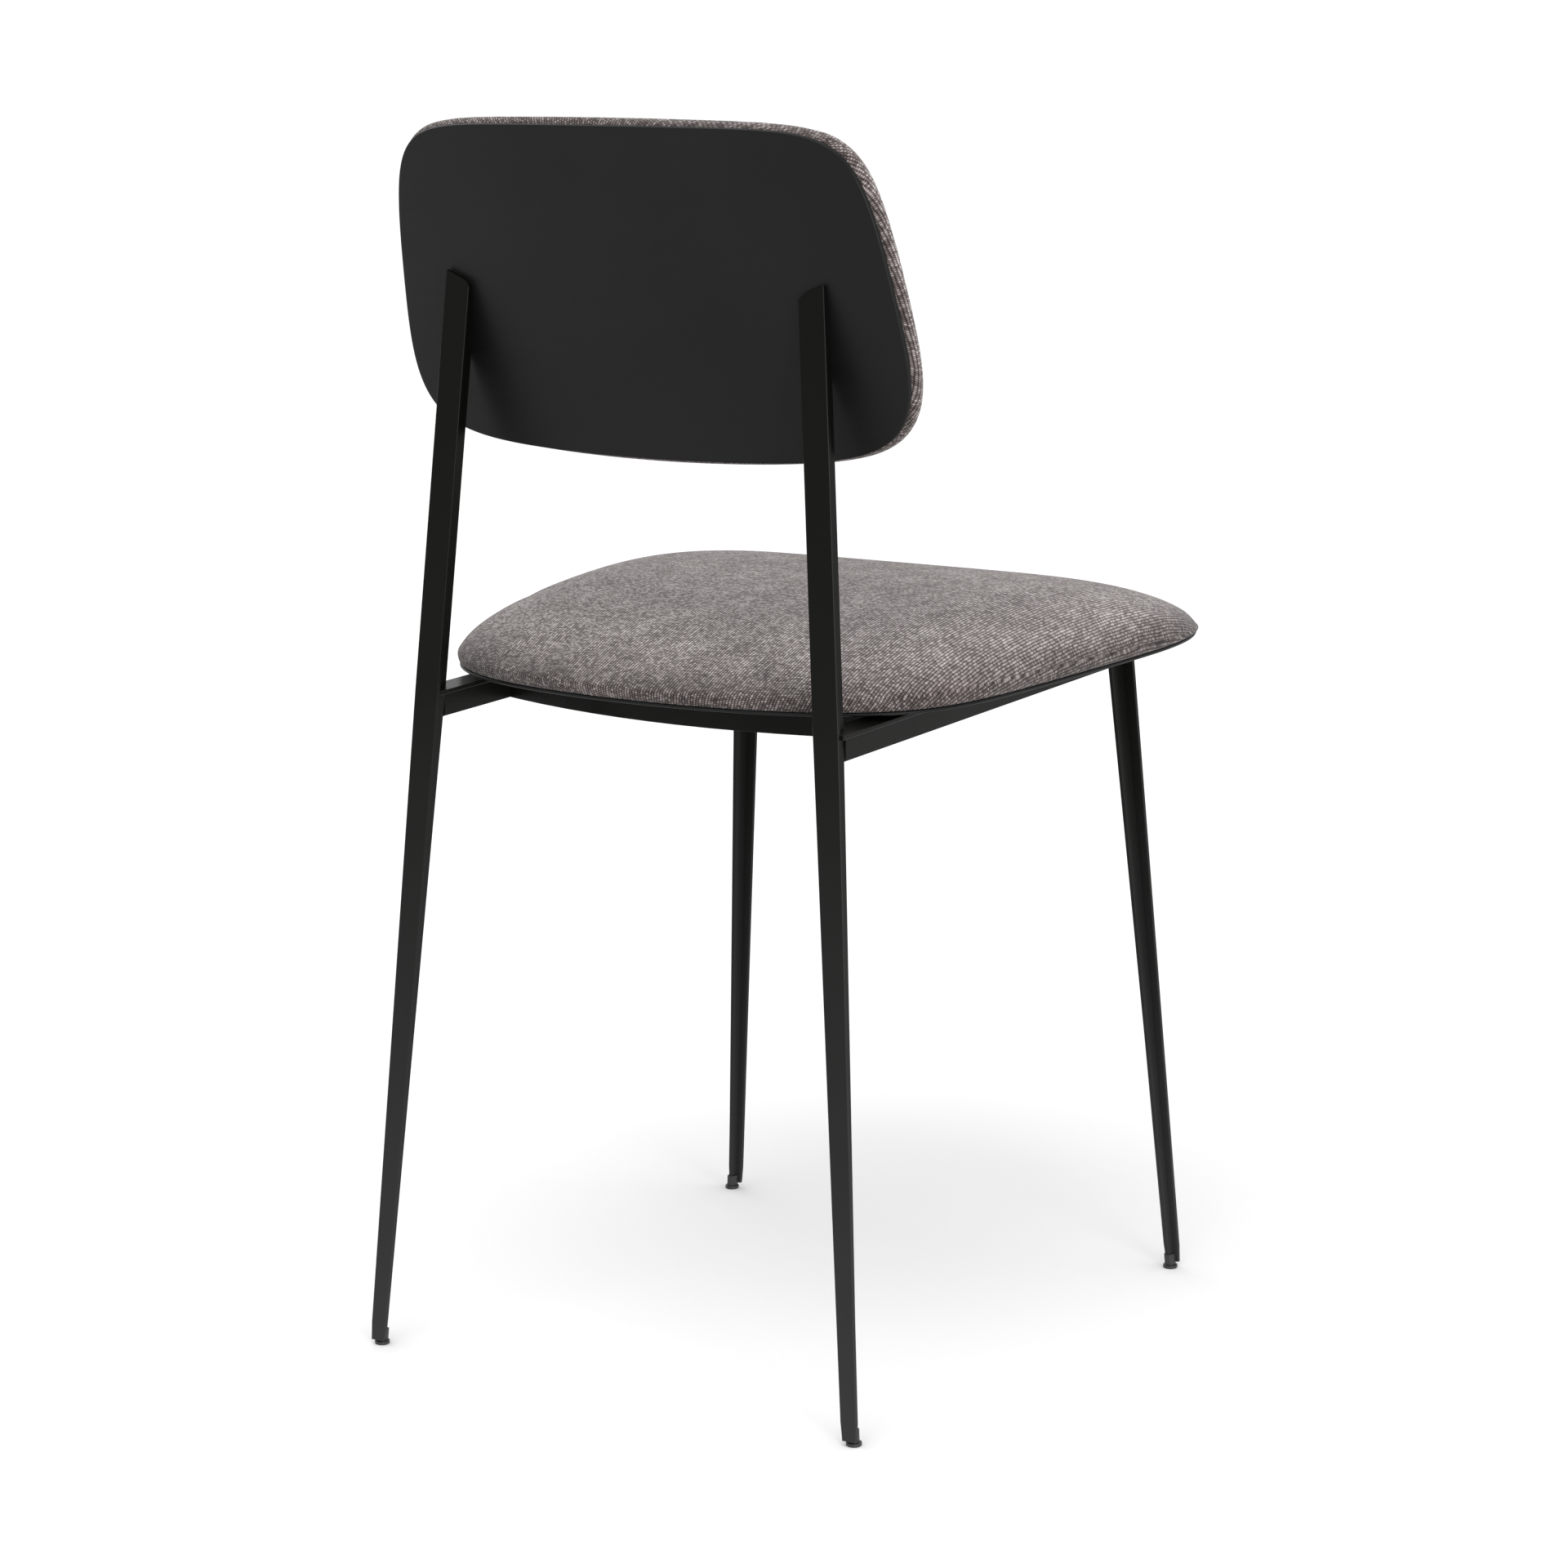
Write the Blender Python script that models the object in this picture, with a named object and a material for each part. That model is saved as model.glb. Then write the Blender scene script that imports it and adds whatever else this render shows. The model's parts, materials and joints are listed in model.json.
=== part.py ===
"""Dining chair: a welded frame of slim T-profile steel, with an upholstered seat and back pad.

Frame of reference: metres, +Z up, the floor at z = 0, X = 0 the symmetry plane. The sitter faces -Y,
so the sitter's left is +X. The origin is the bottom centre of the whole chair's box.

Sizes are first written from a datum line on the floor, the outer face of the rear legs at floor level.
"forward" is the distance in front of that line, so forward = DATUM_Y - y.
"""

import math

import bmesh
import bpy
from mathutils import Vector

# Placement and clearances
DATUM_Y = 0.2360
GAP = 0.0003

# T-profile bars, of plate steel
PLATE = 0.0028
ARRIS = 0.00035
BAR_WIDTH = 0.020
BAR_HEIGHT = 0.0195

# Legs: width and depth of the T at the foot and at the taper's top end
LEG_WIDTH_FOOT = 0.0112
LEG_WIDTH_FULL = 0.0185
LEG_DEPTH_FOOT = 0.0085
LEG_DEPTH_FULL = 0.0190
TAPER_TOP_Z = 0.440
LEG_END_Z = 0.0037
FOOT_NECK_Z = 0.0155
FOOT_NECK_NARROWING = 0.0015

REAR_LEG_X = 0.1848
REAR_LEG_SPLAY = 0.0741
REAR_LEG_LEAN = 0.0707
REAR_LEG_TOP_Z = 0.70325
REAR_LEG_TOP_SLOPE = 0.395
REAR_STEM_CUT_Z = 0.6520
REAR_LEG_CORNER_RADIUS = 0.0035
REAR_LEG_CORNER_SHARES = (0.134, 0.5, 1.0)

FRONT_LEG_X = 0.1836
FRONT_LEG_SPLAY = 0.0750
FRONT_LEG_FORWARD = 0.426
FRONT_LEG_LEAN = 0.0475

# Seat rails: the top of their flanges rises slightly towards the front
RAIL_TOP_Z = 0.4372
RAIL_RISE = 0.020
SIDE_RAIL_X_REAR = 0.1538
SIDE_RAIL_TAPER = 0.007
REAR_RAIL_FORWARD = 0.0954
REAR_RAIL_BOW = 1.1
FRONT_RAIL_FORWARD = 0.360
REAR_RAIL_SEGMENTS = 12
CROSS_RAIL_SLACK = 0.0002

# Foot glides
GLIDE_RADIUS = 0.005
GLIDE_THICKNESS = 0.0022
GLIDE_CHAMFER = 0.0005
GLIDE_SETBACK = 0.006
GLIDE_SIDES = 20
SLEEVE_WIDTH = 0.0062
SLEEVE_DEPTH = 0.0065
SLEEVE_CORNER = (0.0011, 0.0024)
SLEEVE_TOP_Z = 0.0100

# Seat tabs, screws and tee nuts
TAB_LENGTH = 0.030
TAB_WIDTH = 0.026
TAB_THICKNESS = 0.003
TAB_FORWARD = {"rear": 0.150, "front": 0.330}
TAB_CORNER_RADIUS = 0.006
TAB_CORNER_STEPS = 4
SCREW_RADIUS = 0.0025
SCREW_LENGTH = 0.016
SCREW_HEAD_RADIUS = 0.0045
SCREW_HEAD_HEIGHT = 0.0027
SCREW_HEAD_CHAMFER = 0.0004
SOCKET_RADIUS = 0.0017
SOCKET_DEPTH = 0.0015
CLEARANCE_RADIUS = 0.0030
HOLE_BELOW = 0.020
HOLE_ABOVE = 0.030
NUT_BARREL_RADIUS = 0.0036
NUT_FLANGE_RADIUS = 0.0075
NUT_FLANGE_THICKNESS = 0.0010
NUT_BARREL_LENGTH = 0.0065
NUT_HOLE_RADIUS = 0.0041
NUT_LIFT = 0.0004
ROUND_SIDES = 12

# Seat: half outline as spline control points (x, forward), from the rear centre to the front centre
SEAT_OUTLINE = [
    (0.0000, 0.0388),
    (0.1190, 0.0520),
    (0.1900, 0.0964),
    (0.2040, 0.1854),
    (0.2150, 0.2971),
    (0.2220, 0.3933),
    (0.1780, 0.4530),
    (0.0840, 0.4685),
    (0.0000, 0.4710),
]
SEAT_CENTRE_FORWARD = 0.260
SEAT_RIM_Z = 0.4422
SEAT_RIM_RISE = 0.0259
SHELL_THICKNESS = 0.0022
SHELL_FLAT = 0.82
SHELL_CURVE = 1.5
SHELL_CURVE_RING = 0.91
BOARD_REACH = 0.79
BOARD_THICKNESS = 0.008
BOARD_CLEARANCE = 0.0022
RECESS_REACH = 0.805
RECESS_STEP = 0.005
COVER_THICKNESS = 0.0012
PAD_HEIGHT = 0.0455
PAD_CREST_FORWARD = 0.250
PAD_FALL_FRONT = 0.648
PAD_FALL_REAR = 0.589
PAD_SHOULDER = 6.0
PAD_ROUNDNESS = 1.22
PAD_WAIST = 0.0068
PAD_WAIST_SLOPE = 0.033
PAD_WAIST_LEAST = 0.0010
PAD_BULGE = 0.0015
SEAT_RINGS = [0.35, 0.60, 0.78, 0.88, 0.94, 0.98]

# Back: half outline as spline control points (x, height along the panel), from the top centre down
BACK_OUTLINE = [
    (0.0000, 0.0990),
    (0.0950, 0.0981),
    (0.1575, 0.0934),
    (0.1772, 0.0574),
    (0.1850, -0.0087),
    (0.1915, -0.0724),
    (0.1687, -0.1072),
    (0.1000, -0.1143),
    (0.0000, -0.1153),
]
BACK_FORWARD = 0.0459
BACK_Z = 0.704
BACK_LEAN = math.atan(0.2334)
BACK_BOW = 0.396
BACK_SHELL_THICKNESS = 0.003
BACK_EDGE_ROUND = 0.0010
BACK_BOARD_THICKNESS = 0.004
BACK_PAD_THICKNESS = 0.021
BACK_PAD_ROUNDNESS = 2.6
BACK_PAD_SIDE = 0.45
BACK_PAD_BULGE = 0.0008
PANEL_RINGS = (0.25, 0.50, 0.75, 0.90)
BACK_RINGS = [0.30, 0.60, 0.82, 0.92, 0.97, 1.0]

SPLINE_STEPS = 3
SEAT_MIDDLE = (0.0, SEAT_CENTRE_FORWARD)
BACK_MIDDLE = (0.0, 0.0)
SIDES = [("left", 1), ("right", -1)]


# ---------------------------------------------------------------- materials


def make_material(name, color, roughness, metallic):
    material = bpy.data.materials.new(name)
    material.use_nodes = True
    shader = material.node_tree.nodes["Principled BSDF"]
    shader.inputs["Base Color"].default_value = (*color, 1.0)
    shader.inputs["Roughness"].default_value = roughness
    shader.inputs["Metallic"].default_value = metallic
    return material


def make_materials():
    """One material for each kind of piece."""
    return {
        "frame": make_material("black_powder_coat", (0.022, 0.023, 0.022), 0.45, 0.0),
        "shell": make_material("black_shell_coat", (0.018, 0.018, 0.018), 0.40, 0.0),
        "glide": make_material("glide_plastic", (0.020, 0.020, 0.021), 0.55, 0.0),
        "steel": make_material("zinc_plated_steel", (0.55, 0.55, 0.56), 0.35, 1.0),
        "board": make_material("birch_plywood", (0.55, 0.40, 0.24), 0.65, 0.0),
        "foam": make_material("seat_foam", (0.80, 0.77, 0.68), 0.95, 0.0),
        "fabric": make_material("grey_weave", (0.19, 0.165, 0.155), 0.95, 0.0),
    }


# ---------------------------------------------------------------- mesh helpers


def world(x, forward, z):
    """A point given by its distance in front of the datum line."""
    return Vector((x, DATUM_Y - forward, z))


def new_object(name, bm, material, smooth_angle=None):
    """Links a closed mesh as an object, faces pointing out."""
    bmesh.ops.recalc_face_normals(bm, faces=bm.faces)
    mesh = bpy.data.meshes.new(name)
    bm.to_mesh(mesh)
    bm.free()
    if smooth_angle is not None:
        mesh.shade_smooth()
        mesh.set_sharp_from_angle(angle=math.radians(smooth_angle))
    mesh.materials.append(material)
    obj = bpy.data.objects.new(name, mesh)
    bpy.context.scene.collection.objects.link(obj)
    return obj


def bridge(bm, ring_a, ring_b):
    """Quads between two rings of the same length."""
    count = len(ring_a)
    for i in range(count):
        j = (i + 1) % count
        bm.faces.new((ring_a[i], ring_a[j], ring_b[j], ring_b[i]))


def loft(bm, sections):
    """A closed body through sections, each a list of points, with flat ends."""
    rings = [[bm.verts.new(p) for p in section] for section in sections]
    for ring_a, ring_b in zip(rings, rings[1:]):
        bridge(bm, ring_a, ring_b)
    bm.faces.new(rings[0])
    bm.faces.new(rings[-1])


def domed_body(bm, upper, lower):
    """A closed body of two skins, joined round their last rings. Each skin is (middle point, rings)."""
    upper_middle, upper_rings = upper
    lower_middle, lower_rings = lower
    top = [[bm.verts.new(p) for p in ring] for ring in upper_rings]
    bottom = [[bm.verts.new(p) for p in ring] for ring in lower_rings]
    for middle, rings in ((upper_middle, top), (lower_middle, bottom)):
        centre = bm.verts.new(middle)
        count = len(rings[0])
        for i in range(count):
            bm.faces.new((centre, rings[0][i], rings[0][(i + 1) % count]))
        for ring_a, ring_b in zip(rings, rings[1:]):
            bridge(bm, ring_a, ring_b)
    bridge(bm, top[-1], bottom[-1])


def round_section(x, forward, z, radius, sides, hexagonal=False):
    """A level ring of points round an upright axis; a hexagonal one has its corners at radius."""
    section = []
    for i in range(sides):
        angle = 2 * math.pi * i / sides
        reach = radius
        if hexagonal:
            off_flat = angle % (math.pi / 3) - math.pi / 6
            reach = radius * math.cos(math.pi / 6) / math.cos(off_flat)
        section.append(world(x + reach * math.cos(angle), forward + reach * math.sin(angle), z))
    return section


def turned(name, x, forward, sizes, sides, material):
    """A closed turned piece from (radius, z) pairs, with flat ends."""
    bm = bmesh.new()
    loft(bm, [round_section(x, forward, z, radius, sides) for radius, z in sizes])
    return new_object(name, bm, material, smooth_angle=40)


def boolean(obj, other, operation):
    """Cuts other from obj, or joins it to obj, and leaves other out of the model."""
    modifier = obj.modifiers.new(other.name, "BOOLEAN")
    modifier.operation = operation
    modifier.solver = "EXACT"
    modifier.object = other
    other.hide_render = True
    other.display_type = "WIRE"


def cut_hole(obj, x, forward, radius, material):
    """A round hole right through obj at a screw's place."""
    sizes = [(radius, RAIL_TOP_Z - HOLE_BELOW), (radius, RAIL_TOP_Z + HOLE_ABOVE)]
    cutter = turned(obj.name + "_hole", x, forward, sizes, ROUND_SIDES, material)
    boolean(obj, cutter, "DIFFERENCE")


def cubic_spline(controls, steps):
    """Points of a closed uniform cubic B-spline, steps points for each control point."""
    count = len(controls)
    points = []
    for i in range(count):
        a, b, c, d = (controls[(i + k - 1) % count] for k in range(4))
        for step in range(steps):
            t = step / steps
            wa = (1 - t) ** 3 / 6
            wb = (3 * t**3 - 6 * t**2 + 4) / 6
            wc = (-3 * t**3 + 3 * t**2 + 3 * t + 1) / 6
            wd = t**3 / 6
            points.append(tuple(wa * a[k] + wb * b[k] + wc * c[k] + wd * d[k] for k in range(2)))
    return points


def mirrored_outline(half):
    """The whole outline from its half, whose two ends lie on the symmetry plane."""
    other = [(-x, v) for x, v in reversed(half[1:-1])]
    return cubic_spline(list(half) + other, SPLINE_STEPS)


def scaled(point, middle, factor):
    return tuple(middle[k] + (point[k] - middle[k]) * factor for k in range(2))


def inset_factor(point, middle, reach, inset):
    """The share of the way from the middle to the outline, reach less a fixed inset."""
    distance = math.hypot(point[0] - middle[0], point[1] - middle[1])
    return reach * (1 - inset / distance)


# ---------------------------------------------------------------- T-profile bars

# What each point of a T section belongs to: F flange, R root of the stem, J just below it, S rest of the stem
TEE_PARTS = "FFFFRJSSSSJRFFFF"


def tee_section(width, depth, rounding=()):
    """The T as (across, deep) points, arrises broken: the flange's outer face is at deep = 0.

    rounding lists distances from the flange's inner edge that get a point on each of its faces.
    """
    w, s, c = width / 2, PLATE / 2, ARRIS
    right = [(w - c, 0), (w, c), (w, PLATE - c), (w - c, PLATE)]
    right += [(s, PLATE), (s, PLATE + GAP), (s, depth - c), (s - c, depth)]
    left = [(-across, deep) for across, deep in reversed(right)]
    under = [(distance - w, PLATE) for distance in reversed(rounding)]
    over = [(distance - w, 0) for distance in rounding]
    return right + left[:4] + under + left[4:] + over


def tee_bar(bm, sections, before=None, after=None):
    """A closed T bar. before and after carry only its "flange" or "stem" on to one more section."""
    rings = [[bm.verts.new(p) for p in section] for section in sections]
    for ring_a, ring_b in zip(rings, rings[1:]):
        bridge(bm, ring_a, ring_b)
    for ring, extra in ((rings[0], before), (rings[-1], after)):
        if extra is None:
            bm.faces.new(ring)
            continue
        part, section = extra
        carried, stopped = ("FR", "RJS") if part == "flange" else ("JS", "FRJ")
        bm.faces.new([v for v, p in zip(ring, TEE_PARTS) if p in stopped])
        near = [v for v, p in zip(ring, TEE_PARTS) if p in carried]
        far = [bm.verts.new(point) for point, p in zip(section, TEE_PARTS) if p in carried]
        bridge(bm, near, far)
        bm.faces.new(far)


def leg_size(z):
    """Width and depth of a leg's T at a height."""
    share = min(z / TAPER_TOP_Z, 1.0)
    width = LEG_WIDTH_FOOT + (LEG_WIDTH_FULL - LEG_WIDTH_FOOT) * share
    depth = LEG_DEPTH_FOOT + (LEG_DEPTH_FULL - LEG_DEPTH_FOOT) * share
    if z <= LEG_END_Z:
        width -= FOOT_NECK_NARROWING
    return width, depth


def rear_leg_point(across, deep, z):
    """(x, forward) on a left rear leg: its flange faces the rear."""
    return REAR_LEG_X - REAR_LEG_SPLAY * z + across, REAR_LEG_LEAN * z + deep


def front_leg_point(across, deep, z):
    """(x, forward) on a left front leg: its flange faces the front."""
    return FRONT_LEG_X - FRONT_LEG_SPLAY * z + across, FRONT_LEG_FORWARD - FRONT_LEG_LEAN * z - deep


def rail_top(forward):
    return RAIL_TOP_Z + RAIL_RISE * forward


def side_rail_x(forward):
    return SIDE_RAIL_X_REAR - SIDE_RAIL_TAPER * forward


def back_forward(x, z):
    """How far forward the back panel's rear surface lies."""
    return BACK_FORWARD - math.tan(BACK_LEAN) * (z - BACK_Z) + BACK_BOW * x**2


def rear_leg_top(across, distance):
    """Height of a point of the leg's top edge over its middle: slanted, the inner corner rounded."""
    radius = REAR_LEG_CORNER_RADIUS
    short = max(radius - distance, 0.0)
    return across * REAR_LEG_TOP_SLOPE - (radius - math.sqrt(radius**2 - short**2))


def make_rear_leg(name, side, material):
    """Straight leg from the glide to the back panel: the stem's front edge is cut to the panel."""
    bm = bmesh.new()
    rounding = [REAR_LEG_CORNER_RADIUS * share for share in REAR_LEG_CORNER_SHARES]
    sections = []
    for z in (LEG_END_Z, FOOT_NECK_Z, TAPER_TOP_Z, REAR_STEM_CUT_Z, REAR_LEG_TOP_Z):
        width, depth = leg_size(z)
        section = []
        for across, deep in tee_section(width, depth, rounding):
            height = z
            if z == REAR_LEG_TOP_Z:
                height += rear_leg_top(across, across + width / 2)
            x, forward = rear_leg_point(across, deep, height)
            if deep > PLATE:
                forward = min(forward, back_forward(x, height) - GAP)
            section.append(world(side * x, forward, height))
        sections.append(section)
    loft(bm, sections)
    return new_object(name, bm, material)


def make_front_leg(name, side, material):
    """Leg whose flange ends level with the side rail, and whose stem ends under the rail's flange."""
    bm = bmesh.new()
    rail_z = rail_top(FRONT_LEG_FORWARD)
    sections = []
    for z, drop in ((LEG_END_Z, 0), (FOOT_NECK_Z, 0), (rail_z, PLATE + GAP), (rail_z, 0)):
        width, depth = leg_size(z)
        section = []
        for across, deep in tee_section(width, depth):
            height = z
            if z == rail_z:
                height = rail_top(front_leg_point(across, deep, z)[1]) - drop
            x, forward = front_leg_point(across, deep, height)
            section.append(world(side * x, forward, height))
        sections.append(section)
    tee_bar(bm, sections[:-1], after=("flange", sections[-1]))
    return new_object(name, bm, material)


def side_rail_section(side, end, part):
    """A T section of a side rail where its "flange" or its "stem" stops short of a leg."""
    section = []
    for across, drop in tee_section(BAR_WIDTH, BAR_HEIGHT):
        z = RAIL_TOP_Z - drop
        leg_point = rear_leg_point
        if end == "front":
            z += RAIL_RISE * FRONT_LEG_FORWARD
            leg_point = front_leg_point
        deep = PLATE if part == "flange" else leg_size(z)[1]
        forward = leg_point(0, deep + GAP, z)[1]
        section.append(world(side * (side_rail_x(forward) + across), forward, rail_top(forward) - drop))
    return section


def make_leg_block(name, side, leg_point, outline, low, high, material):
    """A block that leans with a leg, from low to high; its outline is (across, depth behind the flange)."""
    sections = []
    for z in (low, high):
        section = []
        for across, deep in outline:
            x, forward = leg_point(across, deep, z)
            section.append(world(side * x, forward, z))
        sections.append(section)
    bm = bmesh.new()
    loft(bm, sections)
    return new_object(name, bm, material)


def stem_outline(half, far):
    return [(-half, 0.0), (half, 0.0), (half, far), (-half, far)]


def make_side_rail(name, side, material):
    """Bar between the legs of one side: its flange runs on round the rear leg's stem and over the front's."""
    bm = bmesh.new()
    sections = [side_rail_section(side, "rear", "stem"), side_rail_section(side, "front", "stem")]
    tee_bar(bm, sections, before=("flange", side_rail_section(side, "rear", "flange")),
            after=("flange", side_rail_section(side, "front", "flange")))
    rail = new_object(name, bm, material)
    outline = stem_outline(PLATE / 2 + GAP, leg_size(RAIL_TOP_Z)[1] + GAP / 2)
    notch = make_leg_block(name + "_notch", side, rear_leg_point, outline,
                           RAIL_TOP_Z - 2 * PLATE, RAIL_TOP_Z + PLATE, material)
    boolean(rail, notch, "DIFFERENCE")
    return rail


def cross_rail_section(x, forward, bow, mitred):
    """A T section of a cross rail, square to the bar, or mitred to lie along the side rail."""
    slope = math.atan(2 * bow * x)
    section = []
    for across, drop in tee_section(BAR_WIDTH, BAR_HEIGHT):
        px, here = x, forward + bow * x**2
        if mitred:
            here += across / math.cos(slope)
        else:
            px -= across * math.sin(slope)
            here += across * math.cos(slope)
        section.append(world(px, here, rail_top(here) - drop))
    return section


def make_cross_rail(name, forward, bow, segments, material):
    """Bar between the side rails: its flange stops at their flanges, and its stem goes on under them."""
    reach = side_rail_x(forward + bow * SIDE_RAIL_X_REAR**2) - GAP
    flange_end = reach - BAR_WIDTH / 2 - CROSS_RAIL_SLACK
    stem_end = reach - PLATE / 2 - CROSS_RAIL_SLACK
    bm = bmesh.new()
    sections = []
    for i in range(segments + 1):
        x = flange_end * (2 * i / segments - 1)
        sections.append(cross_rail_section(x, forward, bow, mitred=i in (0, segments)))
    ends = [("stem", cross_rail_section(x, forward, bow, mitred=True)) for x in (-stem_end, stem_end)]
    tee_bar(bm, sections, before=ends[0], after=ends[1])
    return new_object(name, bm, material, smooth_angle=30)


# ---------------------------------------------------------------- feet


def make_glide(name, side, leg_point, material):
    """Plastic disk with a sleeve that grips the lower end of the leg's stem."""
    x, forward = leg_point(0, GLIDE_SETBACK, 0)
    rim = GLIDE_RADIUS - GLIDE_CHAMFER
    sizes = [(rim, 0.0), (GLIDE_RADIUS, GLIDE_CHAMFER), (GLIDE_RADIUS, GLIDE_THICKNESS)]
    glide = turned(name, side * x, forward, sizes, GLIDE_SIDES, material)
    half = SLEEVE_WIDTH / 2
    near = PLATE + GAP
    far = near + SLEEVE_DEPTH
    across, deep = SLEEVE_CORNER
    outline = [(-half, near), (half, near), (half, far - deep), (half - across, far),
               (across - half, far), (-half, far - deep)]
    sleeve = make_leg_block(name + "_sleeve", side, leg_point, outline,
                            GLIDE_THICKNESS / 2, SLEEVE_TOP_Z, material)
    half = PLATE / 2 + GAP
    far = leg_size(SLEEVE_TOP_Z)[1] + GAP
    slot = make_leg_block(name + "_slot", side, leg_point, stem_outline(half, far),
                          LEG_END_Z - GAP, 2 * SLEEVE_TOP_Z, material)
    boolean(glide, sleeve, "UNION")
    boolean(glide, slot, "DIFFERENCE")
    return glide


# ---------------------------------------------------------------- seat


def shell_top(factor, forward):
    """The tray is flat over the rails and rises to its rim."""
    base = rail_top(forward) + GAP + SHELL_THICKNESS
    rim = SEAT_RIM_Z + SEAT_RIM_RISE * forward
    share = max(0.0, (factor - SHELL_FLAT) / (1 - SHELL_FLAT))
    return base + (rim - base) * share**SHELL_CURVE


def shell_bottom(factor, forward):
    return shell_top(factor, forward) - SHELL_THICKNESS


def board_bottom(factor, forward):
    return rail_top(forward) + SHELL_THICKNESS + 2 * GAP


def board_top(factor, forward):
    return board_bottom(factor, forward) + BOARD_THICKNESS


def foam_bottom(factor, forward):
    """The foam lies on the tray, and is recessed for the board and the tee nuts."""
    if factor <= RECESS_REACH:
        return board_top(factor, forward) + BOARD_CLEARANCE
    return shell_top(factor, forward) + GAP


def seat_skin(outline, reaches, height):
    """Middle point and rings of a seat surface: height(share of the way out, forward) gives its z."""
    rings = []
    for reach in reaches:
        ring = []
        for point in outline:
            x, forward = scaled(point, SEAT_MIDDLE, reach)
            ring.append(world(x, forward, height(reach, forward)))
        rings.append(ring)
    return world(*SEAT_MIDDLE, height(0.0, SEAT_CENTRE_FORWARD)), rings


def pad_top(reach, forward, inset):
    """Height of the seat pad's surface, or of one a fixed inset inside it, down to its widest ring."""
    rim = SEAT_RIM_Z + SEAT_RIM_RISE * forward + GAP
    off = forward - PAD_CREST_FORWARD
    fall = PAD_FALL_FRONT if off > 0 else PAD_FALL_REAR
    waist = max(PAD_WAIST - PAD_WAIST_SLOPE * off, PAD_WAIST_LEAST)
    dome = (1 - reach**PAD_SHOULDER) ** (1 / PAD_ROUNDNESS)
    return rim + waist + (PAD_HEIGHT - fall * off**2 - waist - inset) * dome


def pad_skin(outline, reaches, inset, hem=False):
    """Middle point and rings of the seat pad's surface. A hem is a last ring drawn in on the tray's rim."""
    rings = []
    for reach in reaches:
        ring = []
        for point in outline:
            factor = inset_factor(point, SEAT_MIDDLE, reach, inset - PAD_BULGE)
            x, forward = scaled(point, SEAT_MIDDLE, factor)
            ring.append(world(x, forward, pad_top(reach, forward, inset)))
        rings.append(ring)
    if hem:
        ring = []
        for point in outline:
            x, forward = scaled(point, SEAT_MIDDLE, inset_factor(point, SEAT_MIDDLE, 1.0, inset))
            ring.append(world(x, forward, SEAT_RIM_Z + SEAT_RIM_RISE * forward + GAP))
        rings.append(ring)
    return world(*SEAT_MIDDLE, pad_top(0.0, SEAT_CENTRE_FORWARD, inset)), rings


def make_seat_shell(outline, holes, material):
    """Pressed tray that carries the seat pad on the rails."""
    bm = bmesh.new()
    reaches = [SHELL_FLAT / 2, SHELL_FLAT, SHELL_CURVE_RING, 1.0]
    domed_body(bm, seat_skin(outline, reaches, shell_top), seat_skin(outline, reaches, shell_bottom))
    shell = new_object("seat_shell", bm, material, smooth_angle=35)
    for x, forward in holes:
        cut_hole(shell, x, forward, CLEARANCE_RADIUS, material)
    return shell


def make_seat_board(outline, holes, material):
    """Plywood base that the foam is glued to and the tee nuts sit in."""
    bm = bmesh.new()
    reaches = [BOARD_REACH / 2, BOARD_REACH]
    domed_body(bm, seat_skin(outline, reaches, board_top), seat_skin(outline, reaches, board_bottom))
    board = new_object("seat_board", bm, material)
    for x, forward in holes:
        cut_hole(board, x, forward, NUT_HOLE_RADIUS, material)
    return board


def make_seat_foam(outline, material):
    """Foam block under the cover."""
    lower = [RECESS_REACH / 2, RECESS_REACH, RECESS_REACH + RECESS_STEP]
    lower += [SHELL_CURVE_RING, SEAT_RINGS[-1]]
    bm = bmesh.new()
    upper = pad_skin(outline, SEAT_RINGS, COVER_THICKNESS + GAP)
    domed_body(bm, upper, seat_skin(outline, lower, foam_bottom))
    return new_object("seat_foam", bm, material, smooth_angle=50)


def make_seat_cover(outline, material):
    """Fabric cap over the foam, open below."""
    reaches = SEAT_RINGS + [1.0]
    bm = bmesh.new()
    outer = pad_skin(outline, reaches, 0.0, hem=True)
    domed_body(bm, outer, pad_skin(outline, reaches, COVER_THICKNESS, hem=True))
    return new_object("seat_cover", bm, material, smooth_angle=60)


# ---------------------------------------------------------------- seat fixings


def tab_middle(side, end):
    """The middle of a seat tab, which sits against the side rail's flange."""
    forward = TAB_FORWARD[end]
    return side * (side_rail_x(forward) - BAR_WIDTH / 2 - GAP - TAB_WIDTH / 2), forward


def tab_outline():
    """Points (across, along) of a tab: its straight edge lies along the rail, its inner corners are round."""
    half, reach = TAB_LENGTH / 2, TAB_WIDTH / 2
    points = [(reach + SIDE_RAIL_TAPER * half, -half), (reach - SIDE_RAIL_TAPER * half, half)]
    for end, start in ((1, math.pi / 2), (-1, math.pi)):
        for step in range(TAB_CORNER_STEPS + 1):
            angle = start + math.pi / 2 * step / TAB_CORNER_STEPS
            across = TAB_CORNER_RADIUS - reach + TAB_CORNER_RADIUS * math.cos(angle)
            along = end * (half - TAB_CORNER_RADIUS) + TAB_CORNER_RADIUS * math.sin(angle)
            points.append((across, along))
    return points


def make_seat_tab(name, side, end, material):
    """Plate welded to a side rail, with a screw hole."""
    x, forward = tab_middle(side, end)
    sections = []
    for drop in (0.0, TAB_THICKNESS):
        section = []
        for across, along in tab_outline():
            here = forward + along
            section.append(world(x + side * across, here, rail_top(here) - drop))
        sections.append(section)
    bm = bmesh.new()
    loft(bm, sections)
    tab = new_object(name, bm, material)
    cut_hole(tab, x, forward, CLEARANCE_RADIUS, material)
    return tab


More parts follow.
